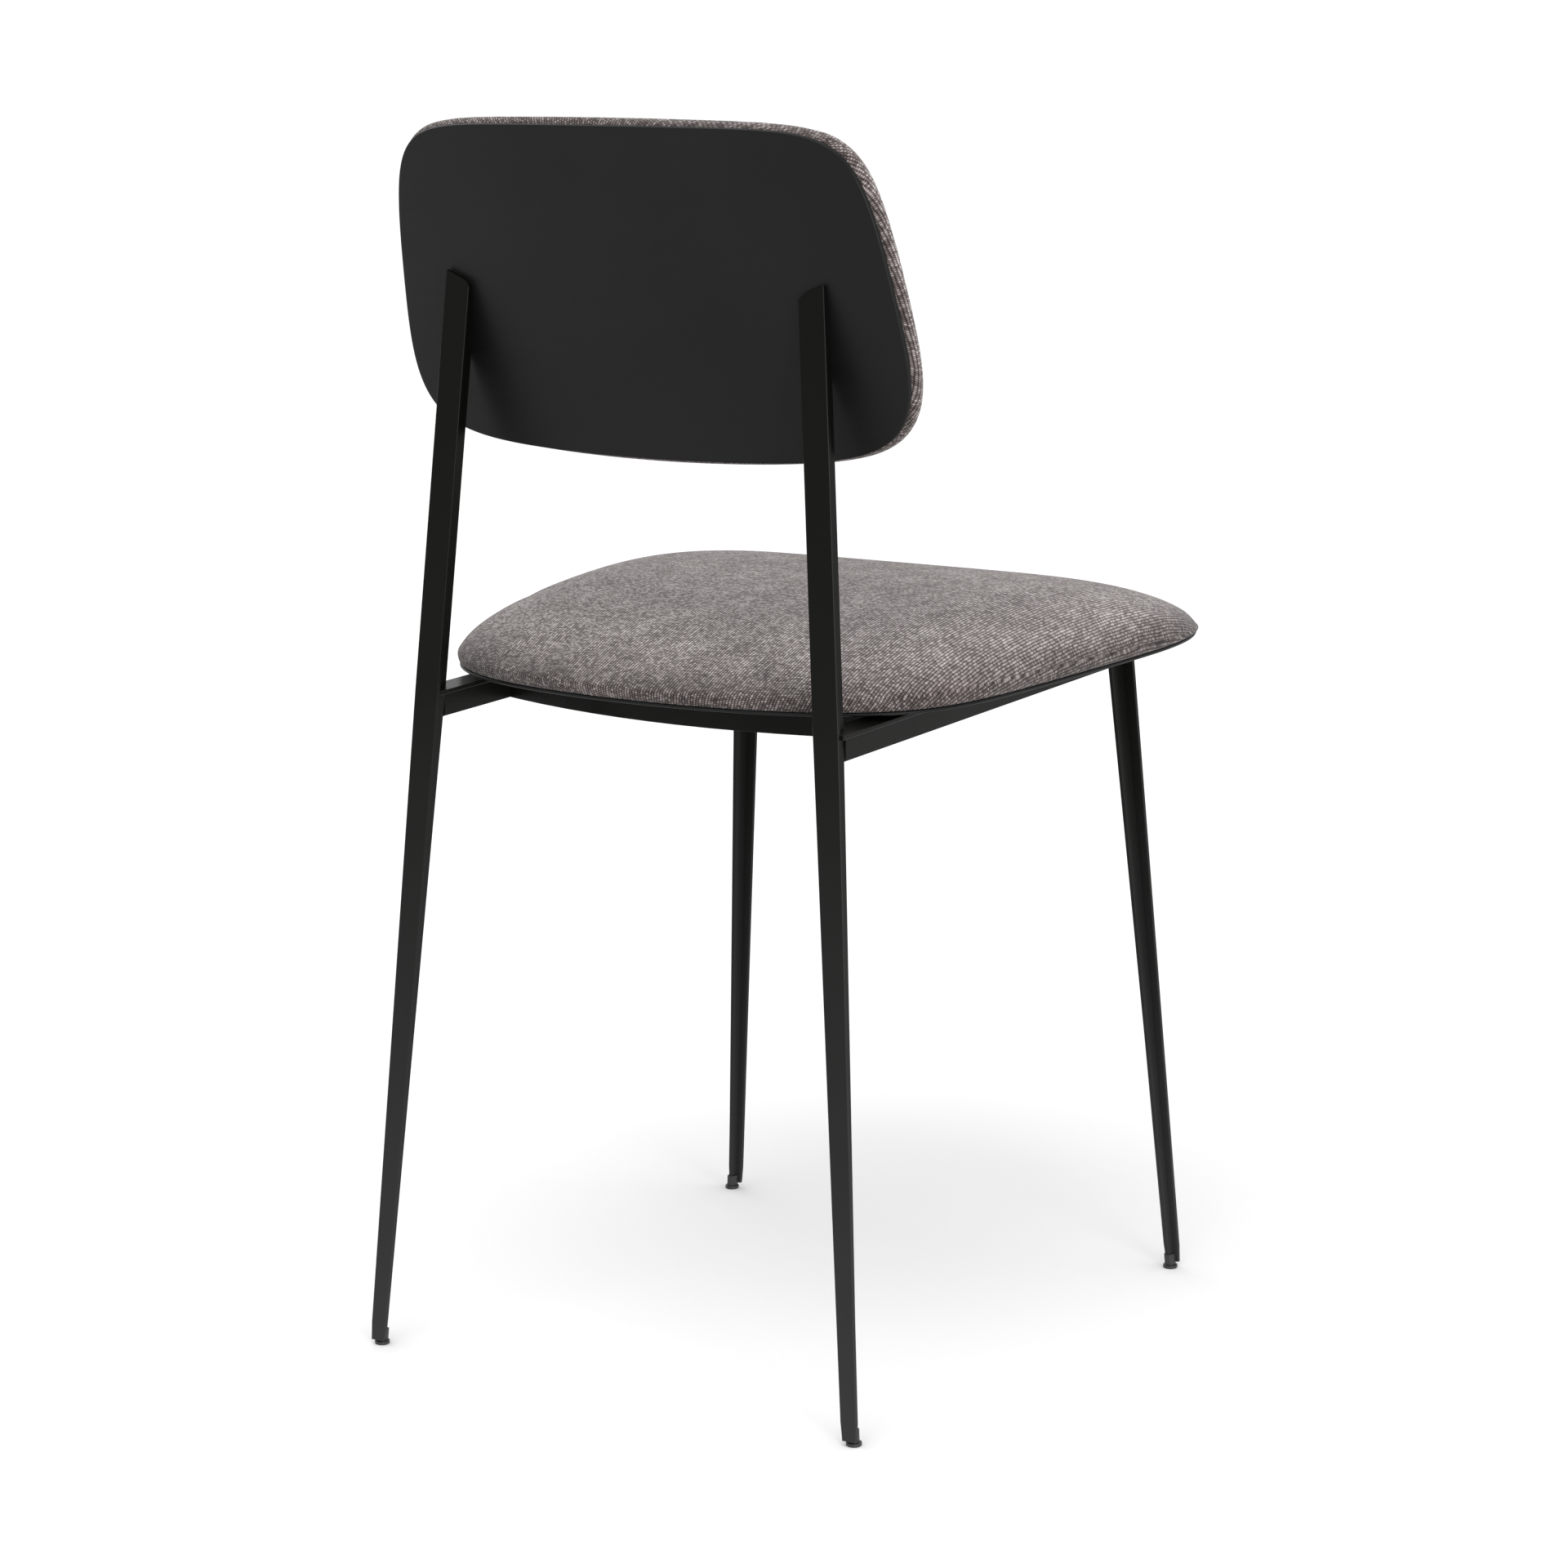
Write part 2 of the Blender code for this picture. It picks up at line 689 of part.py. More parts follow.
def make_screw(name, x, forward, material):
    """Hexagon socket screw, driven up through the tab and the tray into the tee nut."""
    seat = rail_top(forward) - TAB_THICKNESS - NUT_LIFT
    low = seat - SCREW_HEAD_HEIGHT
    sections = []
    for z in (low + SOCKET_DEPTH, low):
        sections.append(round_section(x, forward, z, SOCKET_RADIUS, ROUND_SIDES, hexagonal=True))
    sizes = [
        (SCREW_HEAD_RADIUS - SCREW_HEAD_CHAMFER, low),
        (SCREW_HEAD_RADIUS, low + SCREW_HEAD_CHAMFER),
        (SCREW_HEAD_RADIUS, seat),
        (SCREW_RADIUS, seat),
        (SCREW_RADIUS, seat + SCREW_LENGTH),
    ]
    sections += [round_section(x, forward, z, radius, ROUND_SIDES) for radius, z in sizes]
    bm = bmesh.new()
    loft(bm, sections)
    return new_object(name, bm, material, smooth_angle=40)


def make_tee_nut(name, x, forward, material):
    """Flanged nut pressed into the board from above, open at both ends."""
    top = board_top(0.0, forward) + NUT_LIFT
    low = top - NUT_BARREL_LENGTH
    high = top + NUT_FLANGE_THICKNESS
    sizes = [
        (CLEARANCE_RADIUS, low),
        (NUT_BARREL_RADIUS, low),
        (NUT_BARREL_RADIUS, top),
        (NUT_FLANGE_RADIUS, top),
        (NUT_FLANGE_RADIUS, high),
        (CLEARANCE_RADIUS, high),
    ]
    bm = bmesh.new()
    rings = []
    for radius, z in sizes:
        section = round_section(x, forward, z, radius, ROUND_SIDES)
        rings.append([bm.verts.new(point) for point in section])
    for ring_a, ring_b in zip(rings, rings[1:] + rings[:1]):
        bridge(bm, ring_a, ring_b)
    return new_object(name, bm, material, smooth_angle=40)


# ---------------------------------------------------------------- back


def back_point(x, height, forward):
    """A point of the back: x, height along the panel, and distance forward of its bowed rear face."""
    deep = forward + BACK_BOW * x**2 * math.cos(BACK_LEAN)
    away = BACK_FORWARD - height * math.sin(BACK_LEAN) + deep * math.cos(BACK_LEAN)
    return world(x, away, BACK_Z + height * math.cos(BACK_LEAN) + deep * math.sin(BACK_LEAN))


def back_skin(outline, rings):
    """Middle point and rings of a back surface, from (reach, inset, forward) for each ring."""
    skin = []
    for reach, inset, forward in rings:
        ring = []
        for point in outline:
            x, height = scaled(point, BACK_MIDDLE, inset_factor(point, BACK_MIDDLE, reach, inset))
            ring.append(back_point(x, height, forward))
        skin.append(ring)
    return back_point(0.0, 0.0, rings[0][2]), skin


def level_rings(reaches, forward):
    return [(reach, 0.0, forward) for reach in reaches]


def make_back_shell(outline, material):
    """Bowed panel that the rear legs hold, its rear edge softly rounded."""
    r = BACK_EDGE_ROUND
    t = BACK_SHELL_THICKNESS
    rear = level_rings(PANEL_RINGS, 0.0)
    rear += [(1.0, 3 * r, 0.0), (1.0, r, 0.0), (1.0, 0.3 * r, 0.3 * r), (1.0, 0.0, r)]
    front = level_rings((*PANEL_RINGS, 1.0), t)
    bm = bmesh.new()
    domed_body(bm, back_skin(outline, rear), back_skin(outline, front))
    return new_object("back_shell", bm, material, smooth_angle=60)


def make_back_board(outline, material):
    """Thin moulded board behind the foam, glued to the panel."""
    near = BACK_SHELL_THICKNESS + GAP
    rear = level_rings(PANEL_RINGS, near)
    front = level_rings(PANEL_RINGS, near + BACK_BOARD_THICKNESS)
    bm = bmesh.new()
    domed_body(bm, back_skin(outline, rear), back_skin(outline, front))
    return new_object("back_board", bm, material)


def back_pad_rings(inset):
    """Rings of the back pad's front surface: full in the middle, rolled over at the edge."""
    straight = BACK_PAD_SIDE * BACK_PAD_THICKNESS
    rings = []
    for reach in BACK_RINGS:
        dome = (1 - reach**BACK_PAD_ROUNDNESS) ** (1 / BACK_PAD_ROUNDNESS)
        height = straight + (BACK_PAD_THICKNESS - straight) * dome - inset
        rings.append((reach, inset - BACK_PAD_BULGE, BACK_SHELL_THICKNESS + GAP + height))
    return rings


def make_back_foam(outline, material):
    """Foam pad, recessed at the rear for its board."""
    inset = COVER_THICKNESS + GAP
    near = BACK_SHELL_THICKNESS + GAP
    edge = PANEL_RINGS[-1] + RECESS_STEP
    rear = level_rings((*PANEL_RINGS[:-1], edge), near + BACK_BOARD_THICKNESS + GAP)
    rear += [(edge + RECESS_STEP, 0.0, near), (1.0, inset, near)]
    bm = bmesh.new()
    domed_body(bm, back_skin(outline, back_pad_rings(inset)), back_skin(outline, rear))
    return new_object("back_foam", bm, material, smooth_angle=50)


def make_back_cover(outline, material):
    """Fabric cap over the back foam, open towards the panel."""
    near = BACK_SHELL_THICKNESS + GAP
    outer = back_pad_rings(0.0) + [(1.0, 0.0, near)]
    inner = back_pad_rings(COVER_THICKNESS) + [(1.0, COVER_THICKNESS, near)]
    bm = bmesh.new()
    domed_body(bm, back_skin(outline, outer), back_skin(outline, inner))
    return new_object("back_cover", bm, material, smooth_angle=60)


# ---------------------------------------------------------------- assembly


def clear_scene():
    for obj in list(bpy.data.objects):
        bpy.data.objects.remove(obj, do_unlink=True)


def build_frame(materials):
    black = materials["frame"]
    for name, side in SIDES:
        make_rear_leg("rear_leg_" + name, side, black)
        make_front_leg("front_leg_" + name, side, black)
        make_side_rail("side_rail_" + name, side, black)
        make_glide("rear_glide_" + name, side, rear_leg_point, materials["glide"])
        make_glide("front_glide_" + name, side, front_leg_point, materials["glide"])
    make_cross_rail("rear_rail", REAR_RAIL_FORWARD, REAR_RAIL_BOW, REAR_RAIL_SEGMENTS, black)
    make_cross_rail("front_rail", FRONT_RAIL_FORWARD, 0.0, 1, black)


def build_seat(materials):
    outline = mirrored_outline(SEAT_OUTLINE)
    holes = [tab_middle(side, end) for _, side in SIDES for end in TAB_FORWARD]
    make_seat_shell(outline, holes, materials["shell"])
    make_seat_board(outline, holes, materials["board"])
    make_seat_foam(outline, materials["foam"])
    make_seat_cover(outline, materials["fabric"])


def build_seat_fixings(materials):
    for name, side in SIDES:
        for end in TAB_FORWARD:
            x, forward = tab_middle(side, end)
            place = end + "_" + name
            make_seat_tab("seat_tab_" + place, side, end, materials["frame"])
            make_screw("seat_screw_" + place, x, forward, materials["steel"])
            make_tee_nut("tee_nut_" + place, x, forward, materials["steel"])


def build_back(materials):
    outline = mirrored_outline(BACK_OUTLINE)
    make_back_shell(outline, materials["shell"])
    make_back_board(outline, materials["board"])
    make_back_foam(outline, materials["foam"])
    make_back_cover(outline, materials["fabric"])


def main():
    clear_scene()
    materials = make_materials()
    build_frame(materials)
    build_seat(materials)
    build_seat_fixings(materials)
    build_back(materials)


main()
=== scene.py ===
"""Dining chair: the looks of an upholstered chair on a welded frame of black T-profile steel.

Metres, +Z up, floor at z = 0. "forward" is the distance in front of the datum line on the floor,
where the outer faces of the rear legs reach it, so y = DATUM_Y - forward.
"""

import json
import math

import bmesh
import bpy
import numpy as np
from mathutils import Matrix, Vector

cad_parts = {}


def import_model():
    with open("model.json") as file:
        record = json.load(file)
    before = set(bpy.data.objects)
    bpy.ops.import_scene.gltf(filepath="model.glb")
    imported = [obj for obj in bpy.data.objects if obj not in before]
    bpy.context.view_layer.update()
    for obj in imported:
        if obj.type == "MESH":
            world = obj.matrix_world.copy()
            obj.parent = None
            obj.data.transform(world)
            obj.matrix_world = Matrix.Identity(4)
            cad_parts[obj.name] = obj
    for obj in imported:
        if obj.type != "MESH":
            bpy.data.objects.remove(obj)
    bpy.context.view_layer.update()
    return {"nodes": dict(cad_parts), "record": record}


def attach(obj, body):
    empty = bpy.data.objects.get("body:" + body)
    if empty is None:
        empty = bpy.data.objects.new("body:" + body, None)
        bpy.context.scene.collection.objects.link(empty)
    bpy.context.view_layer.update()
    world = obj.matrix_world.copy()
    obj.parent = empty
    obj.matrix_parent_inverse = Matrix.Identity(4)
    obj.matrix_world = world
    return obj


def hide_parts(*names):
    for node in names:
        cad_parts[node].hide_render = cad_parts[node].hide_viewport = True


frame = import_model()

# Placement
DATUM_Y = 0.2360
GAP = 0.0003

# Steel bars
PLATE = 0.0028
BAR_WIDTH = 0.020
BAR_HEIGHT = 0.0195
RAIL_TOP_Z = 0.4372
RAIL_RISE = 0.020
SIDE_RAIL_X_REAR = 0.1538
SIDE_RAIL_TAPER = 0.007
REAR_RAIL_FORWARD = 0.0954
REAR_RAIL_BOW = 1.1
FRONT_RAIL_FORWARD = 0.360
LEG_DEPTH = 0.0190
REAR_LEG_X = 0.1848
REAR_LEG_SPLAY = 0.0741
REAR_LEG_LEAN = 0.0707
REAR_JOINT_FORWARD = 0.0498
FRONT_JOINT_FORWARD = 0.4020
TAB_FORWARD = (0.150, 0.330)
TAB_THICKNESS = 0.003

# Weld beads
BEAD_RADIUS = 0.0009
BEAD_RIPPLE = 0.0013
BEAD_RIPPLE_DEPTH = 0.16
BEAD_END_TAPER = 0.65
BEAD_STEP = 0.00035
BEAD_SIDES = 10
BEAD_DROP = 0.0003
STEM_BEAD_SHORT = 0.001
FLANGE_BEAD_START = 0.002
REAR_BEAD_END = 0.0078
FRONT_BEAD_END = 0.0085
FRONT_STEM_BEAD_SHORT = 0.005
SEAM_BEAD = (0.001, 0.009)
TAB_BEAD_HALF = 0.011

# Seat
SEAT_OUTLINE = [
    (0.0000, 0.0388), (0.1190, 0.0520), (0.1900, 0.0964), (0.2040, 0.1854), (0.2150, 0.2971),
    (0.2220, 0.3933), (0.1780, 0.4530), (0.0840, 0.4685), (0.0000, 0.4710),
]
SEAT_CENTRE = (0.0, 0.260)
SEAT_RIM_Z = 0.4422
SEAT_RIM_RISE = 0.0259
TRAY_THICKNESS = 0.0022
TRAY_FLAT = 0.82
TRAY_CURVE = 1.5
BOARD_REACH = 0.805
BOARD_TOP = 0.0136
PAD_HEIGHT = 0.0455
PAD_CREST_FORWARD = 0.250
PAD_FALL_FRONT = 0.648
PAD_FALL_REAR = 0.589
PAD_SHOULDER = 6.2
PAD_ROUNDNESS = 1.62
PAD_WAIST = 0.0068
PAD_WAIST_SLOPE = 0.033
PAD_WAIST_LEAST = 0.0010
PAD_WAIST_MOST = 0.0085
PAD_BULGE = 0.0016

# Back
BACK_OUTLINE = [
    (0.0000, 0.0990), (0.0950, 0.0981), (0.1575, 0.0934), (0.1772, 0.0574), (0.1850, -0.0087),
    (0.1915, -0.0724), (0.1687, -0.1072), (0.1000, -0.1143), (0.0000, -0.1153),
]
BACK_CENTRE = (0.0, 0.0)
BACK_FORWARD = 0.0459
BACK_Z = 0.704
BACK_LEAN = math.atan(0.2334)
BACK_BOW = 0.396
PANEL_THICKNESS = 0.003
PANEL_ROUND = 0.0011
BACK_PAD_THICKNESS = 0.021
BACK_PAD_ROUNDNESS = 2.6
BACK_PAD_SIDE = 0.45
BACK_PAD_BULGE = 0.0030
BACK_PAD_LOW_BULGE = 0.0012
BACK_PAD_LOW_BAND = (0.085, 0.112)
BACK_PAD_SIDE_ROUND = 0.0008

# Upholstery work
SPLINE_STEPS = 16
HEM_INSET = 0.0004
# Painted shade near the hem: the scale it is stored at, and how far from the hem it reaches on the seat and
# on the back
PAINTED_SHADE_SCALE = 0.001
SEAT_HEM_TUCK = 0.0012
SEAT_PAINTED_SHADE_BAND = 0.030
BACK_HEM_TUCK = 0.0012
BACK_PAINTED_SHADE_BAND = 0.008
SIM_INSET = 0.0006
SIM_CAP = 0.0018
SIM_FRAMES = 20
CLOTH_PRESSURE = 4.0
CLOTH_STIFFNESS = 12.0
CLOTH_BENDING = 0.6
CLOTH_QUALITY = 5
SEAT_HELD_HEIGHTS = (0.002, 0.016)
BACK_HELD_DEPTHS = (0.001, 0.012)
PAD_CELLS = 26
SEAT_WALL_STEPS = (0.25, 0.5, 0.75, 1.0)
BACK_WALL_STEPS = (0.2, 0.4, 0.6, 0.8, 0.92, 1.0)
EXCESS_STEPS = 24
RIB_PITCH = 0.00212
KNOT_PITCH = 0.00138

# Studio
FLOOR_HALF = 60.0
SKY_STRENGTH = 1.2
LIGHTS = [
    # name, place, target, diameter, watts
    ("key", (-0.6, 1.6, 3.2), (0.0, 0.0, 0.4), 2.4, 45.0),
    ("fill", (2.4, -1.2, 2.4), (0.0, 0.0, 0.4), 2.0, 7.0),
    ("edge", (-3.8, 2.3, 0.5), (0.0, 0.0, 0.5), 1.5, 110.0),
]
CAMERA_PLACE = (-1.51889, 2.09321 + DATUM_Y, 0.918454)
CAMERA_HEADING = math.radians(33.326)
CAMERA_PITCH = math.radians(11.4225)
CAMERA_ROLL = math.radians(-0.6285)
CAMERA_LENS = 97.64


# ---------------------------------------------------------------- node helpers


class Graph:
    """A short way to build shader nodes."""

    def __init__(self, name):
        self.material = bpy.data.materials.new(name)
        self.material.use_nodes = True
        self.tree = self.material.node_tree
        self.shader = self.tree.nodes["Principled BSDF"]

    def node(self, kind, **settings):
        node = self.tree.nodes.new(kind)
        for key, value in settings.items():
            setattr(node, key, value)
        return node

    def put(self, socket, value):
        """Links an output to the socket, or sets a constant on it."""
        if isinstance(value, bpy.types.NodeSocket):
            self.tree.links.new(value, socket)
        else:
            socket.default_value = value

    def math(self, operation, *values, clamp=False):
        node = self.node("ShaderNodeMath", operation=operation, use_clamp=clamp)
        for socket, value in zip(node.inputs, values):
            self.put(socket, value)
        return node.outputs[0]

    def noise(self, vector, scale, detail=2.0, roughness=0.5, stretch=None):
        if stretch:
            mapping = self.node("ShaderNodeVectorMath", operation="MULTIPLY")
            self.put(mapping.inputs[0], vector)
            self.put(mapping.inputs[1], stretch)
            vector = mapping.outputs[0]
        node = self.node("ShaderNodeTexNoise")
        self.put(node.inputs["Vector"], vector)
        node.inputs["Scale"].default_value = scale
        node.inputs["Detail"].default_value = detail
        node.inputs["Roughness"].default_value = roughness
        return node.outputs["Fac"]

    def ramp(self, factor, stops):
        node = self.node("ShaderNodeValToRGB")
        self.put(node.inputs[0], factor)
        elements = node.color_ramp.elements
        while len(elements) < len(stops):
            elements.new(0.5)
        for element, (position, color) in zip(elements, stops):
            element.position = position
            element.color = (*color, 1.0) if isinstance(color, tuple) else (color, color, color, 1.0)
        return node.outputs["Color"]

    def split(self, vector):
        node = self.node("ShaderNodeSeparateXYZ")
        self.put(node.inputs[0], vector)
        return node

    def remap(self, value, low, high, to_low=0.0, to_high=1.0):
        node = self.node("ShaderNodeMapRange")
        for socket, number in zip(node.inputs, (value, low, high, to_low, to_high)):
            self.put(socket, number)
        return node.outputs[0]

    def bump(self, height, distance, strength):
        node = self.node("ShaderNodeBump")
        self.put(node.inputs["Height"], height)
        node.inputs["Distance"].default_value = distance
        node.inputs["Strength"].default_value = strength
        return node.outputs[0]

    def finish(self, **sockets):
        for name, value in sockets.items():
            self.put(self.shader.inputs[name.replace("_", " ")], value)
        return self.material


def object_place(graph):
    return graph.node("ShaderNodeTexCoord").outputs["Object"]


# ---------------------------------------------------------------- materials


def powder_coat():
    """Black polyester powder coat: fine orange peel, and paint lighter towards the floor as painted light
    reflected from the floor.
    """
    g = Graph("powder_coat_black")
    place = object_place(g)
    peel = g.noise(place, 1500.0, 2.0, 0.55)
    waves = g.noise(place, 260.0, 1.0)
    cloud = g.noise(place, 14.0, 3.0)
    height = g.math("ADD", peel, g.math("MULTIPLY", waves, 0.8))
    # Painted floor light: the paint is greyer towards the lower ends of the legs, standing in for light
    # reflected from the floor; the cloud adds random tone
    high = g.remap(g.split(place).outputs[2], 0.0, 0.70)
    painted_floor_light_and_tone = g.math("ADD", high, g.math("MULTIPLY", g.math("SUBTRACT", cloud, 0.5), 0.12))
    color = g.ramp(painted_floor_light_and_tone, [(0.0, (0.0250, 0.0250, 0.0250)), (0.26, (0.0146, 0.0147, 0.0145)),
                          (0.48, (0.0084, 0.0085, 0.0081)), (0.64, (0.0040, 0.0041, 0.0036)),
                          (0.95, (0.0024, 0.0025, 0.0020))])
    rough = g.remap(g.math("ADD", cloud, g.math("MULTIPLY", peel, 0.5)), 0.4, 1.1, 0.27, 0.38)
    return g.finish(Base_Color=color, Roughness=rough, Specular_IOR_Level=0.06,
                    Normal=g.bump(height, 0.00004, 0.7))


def shell_coat():
    """Black lacquer on the back panel and the seat tray, smoother and duller than the frame."""
    g = Graph("shell_lacquer_black")
    place = object_place(g)
    cloud = g.noise(place, 9.0, 4.0, 0.6)
    grain = g.noise(place, 90.0, 3.0, 0.6, stretch=(0.25, 1.0, 2.2))
    peel = g.noise(place, 1100.0, 1.0)
    color = g.ramp(cloud, [(0.3, (0.0030, 0.0032, 0.0030)), (0.7, (0.0044, 0.0046, 0.0045))])
    rough = g.remap(g.math("ADD", cloud, grain), 0.7, 1.3, 0.40, 0.50)
    height = g.math("ADD", g.math("MULTIPLY", peel, 0.5), grain)
    return g.finish(Base_Color=color, Roughness=rough, Specular_IOR_Level=0.14,
                    Normal=g.bump(height, 0.00003, 0.5))


def glide_plastic():
    """Black moulded plastic, scuffed matt near the floor."""
    g = Graph("glide_plastic_black")
    place = object_place(g)
    peel = g.noise(place, 2400.0, 2.0)
    scuff = g.noise(place, 700.0, 4.0, 0.7, stretch=(1.0, 1.0, 4.0))
    color = g.ramp(scuff, [(0.45, (0.010, 0.010, 0.010)), (0.8, (0.030, 0.030, 0.029))])
    rough = g.remap(scuff, 0.3, 0.8, 0.42, 0.66)
    return g.finish(Base_Color=color, Roughness=rough, Normal=g.bump(peel, 0.00003, 0.5))


def zinc_steel():
    """Zinc-plated steel of the screws and tee nuts, lightly turned and stained."""
    g = Graph("zinc_plated_steel")
    place = object_place(g)
    turning = g.noise(place, 900.0, 2.0, stretch=(1.0, 1.0, 9.0))
    stain = g.noise(place, 260.0, 4.0, 0.65)
    color = g.ramp(stain, [(0.3, (0.42, 0.41, 0.38)), (0.75, (0.66, 0.67, 0.68))])
    rough = g.remap(g.math("ADD", turning, stain), 0.6, 1.4, 0.24, 0.46)
    return g.finish(Base_Color=color, Roughness=rough, Metallic=1.0,
                    Normal=g.bump(turning, 0.00003, 0.5))


def plywood():
    """Birch plywood: pale figure on the faces, glue lines along the edges."""
    g = Graph("birch_plywood")
    place = object_place(g)
    figure = g.noise(place, 22.0, 5.0, 0.6, stretch=(5.0, 0.7, 5.0))
    pores = g.noise(place, 420.0, 2.0, stretch=(4.0, 0.4, 4.0))
    color = g.ramp(g.math("ADD", figure, g.math("MULTIPLY", pores, 0.15)),
                   [(0.35, (0.36, 0.24, 0.13)), (0.75, (0.62, 0.47, 0.30))])
    return g.finish(Base_Color=color, Roughness=g.remap(figure, 0.3, 0.7, 0.55, 0.75),
                    Normal=g.bump(pores, 0.0001, 0.5))


def knot_height(g, across, along):
    """Height of the round knot that a thread makes in its cell."""
    wide = g.math("COSINE", g.math("MULTIPLY", across, math.pi))
    wide = g.math("POWER", g.math("MAXIMUM", wide, 0.001), 0.55)
    dip = g.math("COSINE", g.math("MULTIPLY", along, math.pi))
    dip = g.math("ADD", g.math("MULTIPLY", dip, 0.5), 0.5)
    return g.math("MULTIPLY", wide, dip)


def weave_fabric():
    """Coarse washed rib weave: columns of knots, each column half a knot on from the last; painted shade
    darkens it near the hem.
    """
    g = Graph("grey_washed_weave")
    attribute = g.node("ShaderNodeAttribute", attribute_name="weave")
    place = attribute.outputs["Vector"]

    # Threads wander a little
    drift = g.node("ShaderNodeTexNoise")
    g.put(drift.inputs["Vector"], place)
    drift.inputs["Scale"].default_value = 45.0
    drift.inputs["Detail"].default_value = 2.0
    centred = g.node("ShaderNodeVectorMath", operation="SUBTRACT")
    g.put(centred.inputs[0], drift.outputs["Color"])
    centred.inputs[1].default_value = (0.5, 0.5, 0.5)
    shift = g.node("ShaderNodeVectorMath", operation="SCALE")
    g.put(shift.inputs[0], centred.outputs[0])
    shift.inputs["Scale"].default_value = 0.0022
    wandered = g.node("ShaderNodeVectorMath", operation="ADD")
    g.put(wandered.inputs[0], place)
    g.put(wandered.inputs[1], shift.outputs[0])
    parts = g.split(wandered.outputs[0])

    u = g.math("DIVIDE", parts.outputs[0], RIB_PITCH)
    column = g.math("FLOOR", u)
    offset = g.math("MULTIPLY", g.math("FLOORED_MODULO", column, 2.0), 0.5)
    v = g.math("ADD", g.math("DIVIDE", parts.outputs[1], KNOT_PITCH), offset)
    row = g.math("FLOOR", v)
    cu = g.math("SUBTRACT", g.math("SUBTRACT", u, column), 0.5)
    cv = g.math("SUBTRACT", g.math("SUBTRACT", v, row), 0.5)
    height = knot_height(g, cu, cv)

    # Shade of each thread, of each stretch along it, and the washed clouds
    cell = g.node("ShaderNodeCombineXYZ")
    g.put(cell.inputs[0], column)
    g.put(cell.inputs[1], row)
    speck = g.node("ShaderNodeTexWhiteNoise", noise_dimensions="2D")
    g.put(speck.inputs["Vector"], cell.outputs[0])
    slub_warp = g.noise(place, 1.0, 2.0, stretch=(0.8 / RIB_PITCH, 60.0, 0.0))
    slub_weft = g.noise(place, 1.0, 2.0, stretch=(60.0, 0.8 / KNOT_PITCH, 0.0))
    cloud = g.noise(place, 34.0, 4.0, 0.6)
    patch = g.noise(place, 9.0, 2.0)
    fuzz = g.noise(place, 2600.0, 3.0, 0.7)

    def part(value, share):
        return g.math("MULTIPLY", g.math("SUBTRACT", value, 0.5), share)

    # Painted shade: the cloth is darker the nearer it is to its hem, against the tray or the panel
    hem = g.math("DIVIDE", g.split(place).outputs[2], PAINTED_SHADE_SCALE)
    shade = g.math("SUBTRACT", 0.505, g.math("MULTIPLY", hem, 0.25))
    for value, share in ((speck.outputs["Value"], 0.36), (slub_warp, 0.20), (slub_weft, 0.14),
                         (cloud, 0.30), (patch, 0.16), (fuzz, 0.20)):
        shade = g.math("ADD", shade, part(value, share))
    shade = g.math("ADD", shade, part(height, 0.72), clamp=True)
    color = g.ramp(shade, [
        (0.0, (0.0080, 0.0056, 0.0050)),
        (0.25, (0.031, 0.0235, 0.0215)),
        (0.50, (0.093, 0.077, 0.073)),
        (0.75, (0.225, 0.199, 0.194)),
        (1.0, (0.480, 0.450, 0.440)),
    ])
    relief = g.math("ADD", height, g.math("MULTIPLY", fuzz, 0.35))
    rough = g.remap(shade, 0.0, 1.0, 0.98, 0.86)
    normal = g.bump(relief, 0.00035, 0.8)
    return g.finish(Base_Color=color, Roughness=rough, Sheen_Weight=0.12, Sheen_Roughness=0.45,
                    Specular_IOR_Level=0.25, Normal=normal)


def studio_floor():
    """Pale paper, a little greyer under the chair than far away: painted light, paler where less lamp light
    reaches it.
    """
    g = Graph("studio_floor_white")
    place = object_place(g)
    away = g.node("ShaderNodeVectorMath", operation="LENGTH")
    g.put(away.inputs[0], place)
    # Painted light: darker near the chair, where the lamps light the floor most, paler far away; the noise
    # adds a little random mottle
    painted_light_balance = g.remap(away.outputs["Value"], 0.5, 3.0, 0.0, 0.9)
    painted_light_balance = g.math("ADD", painted_light_balance, g.math("MULTIPLY", g.noise(place, 3.0, 2.0), 0.1))
    color = g.ramp(painted_light_balance, [(0.05, 0.76), (0.95, 0.88)])
    return g.finish(Base_Color=color, Roughness=0.75, Specular_IOR_Level=0.1)


# ---------------------------------------------------------------- shapes


def world(x, forward, z):
    return Vector((x, DATUM_Y - forward, z))


def cubic_spline(controls, steps):
    """Points of a closed uniform cubic B-spline."""
    count = len(controls)
    points = []
    for i in range(count):
        a, b, c, d = (controls[(i + k - 1) % count] for k in range(4))
        for step in range(steps):
            t = step / steps
            weights = ((1 - t) ** 3, 3 * t**3 - 6 * t**2 + 4, -3 * t**3 + 3 * t**2 + 3 * t + 1, t**3)
            points.append(tuple(sum(w * p[k] for w, p in zip(weights, (a, b, c, d))) / 6
                                for k in range(2)))
    return points


def whole_outline(half):
    other = [(-x, v) for x, v in reversed(half[1:-1])]
    return cubic_spline(list(half) + other, SPLINE_STEPS)


def toward(point, centre, reach, inset=0.0):
    """A point the given share of the way out from the centre, less an inset at the full reach."""
    distance = math.hypot(point[0] - centre[0], point[1] - centre[1])
    share = reach * (1 - inset / distance)
    return tuple(centre[k] + (point[k] - centre[k]) * share for k in range(2))


def make_mesh(name, bm, material, smooth=True):
    bmesh.ops.recalc_face_normals(bm, faces=bm.faces)
    mesh = bpy.data.meshes.new(name)
    bm.to_mesh(mesh)
    bm.free()
    if smooth:
        mesh.shade_smooth()
    mesh.materials.append(material)
    obj = bpy.data.objects.new(name, mesh)
    bpy.context.scene.collection.objects.link(obj)
    return obj


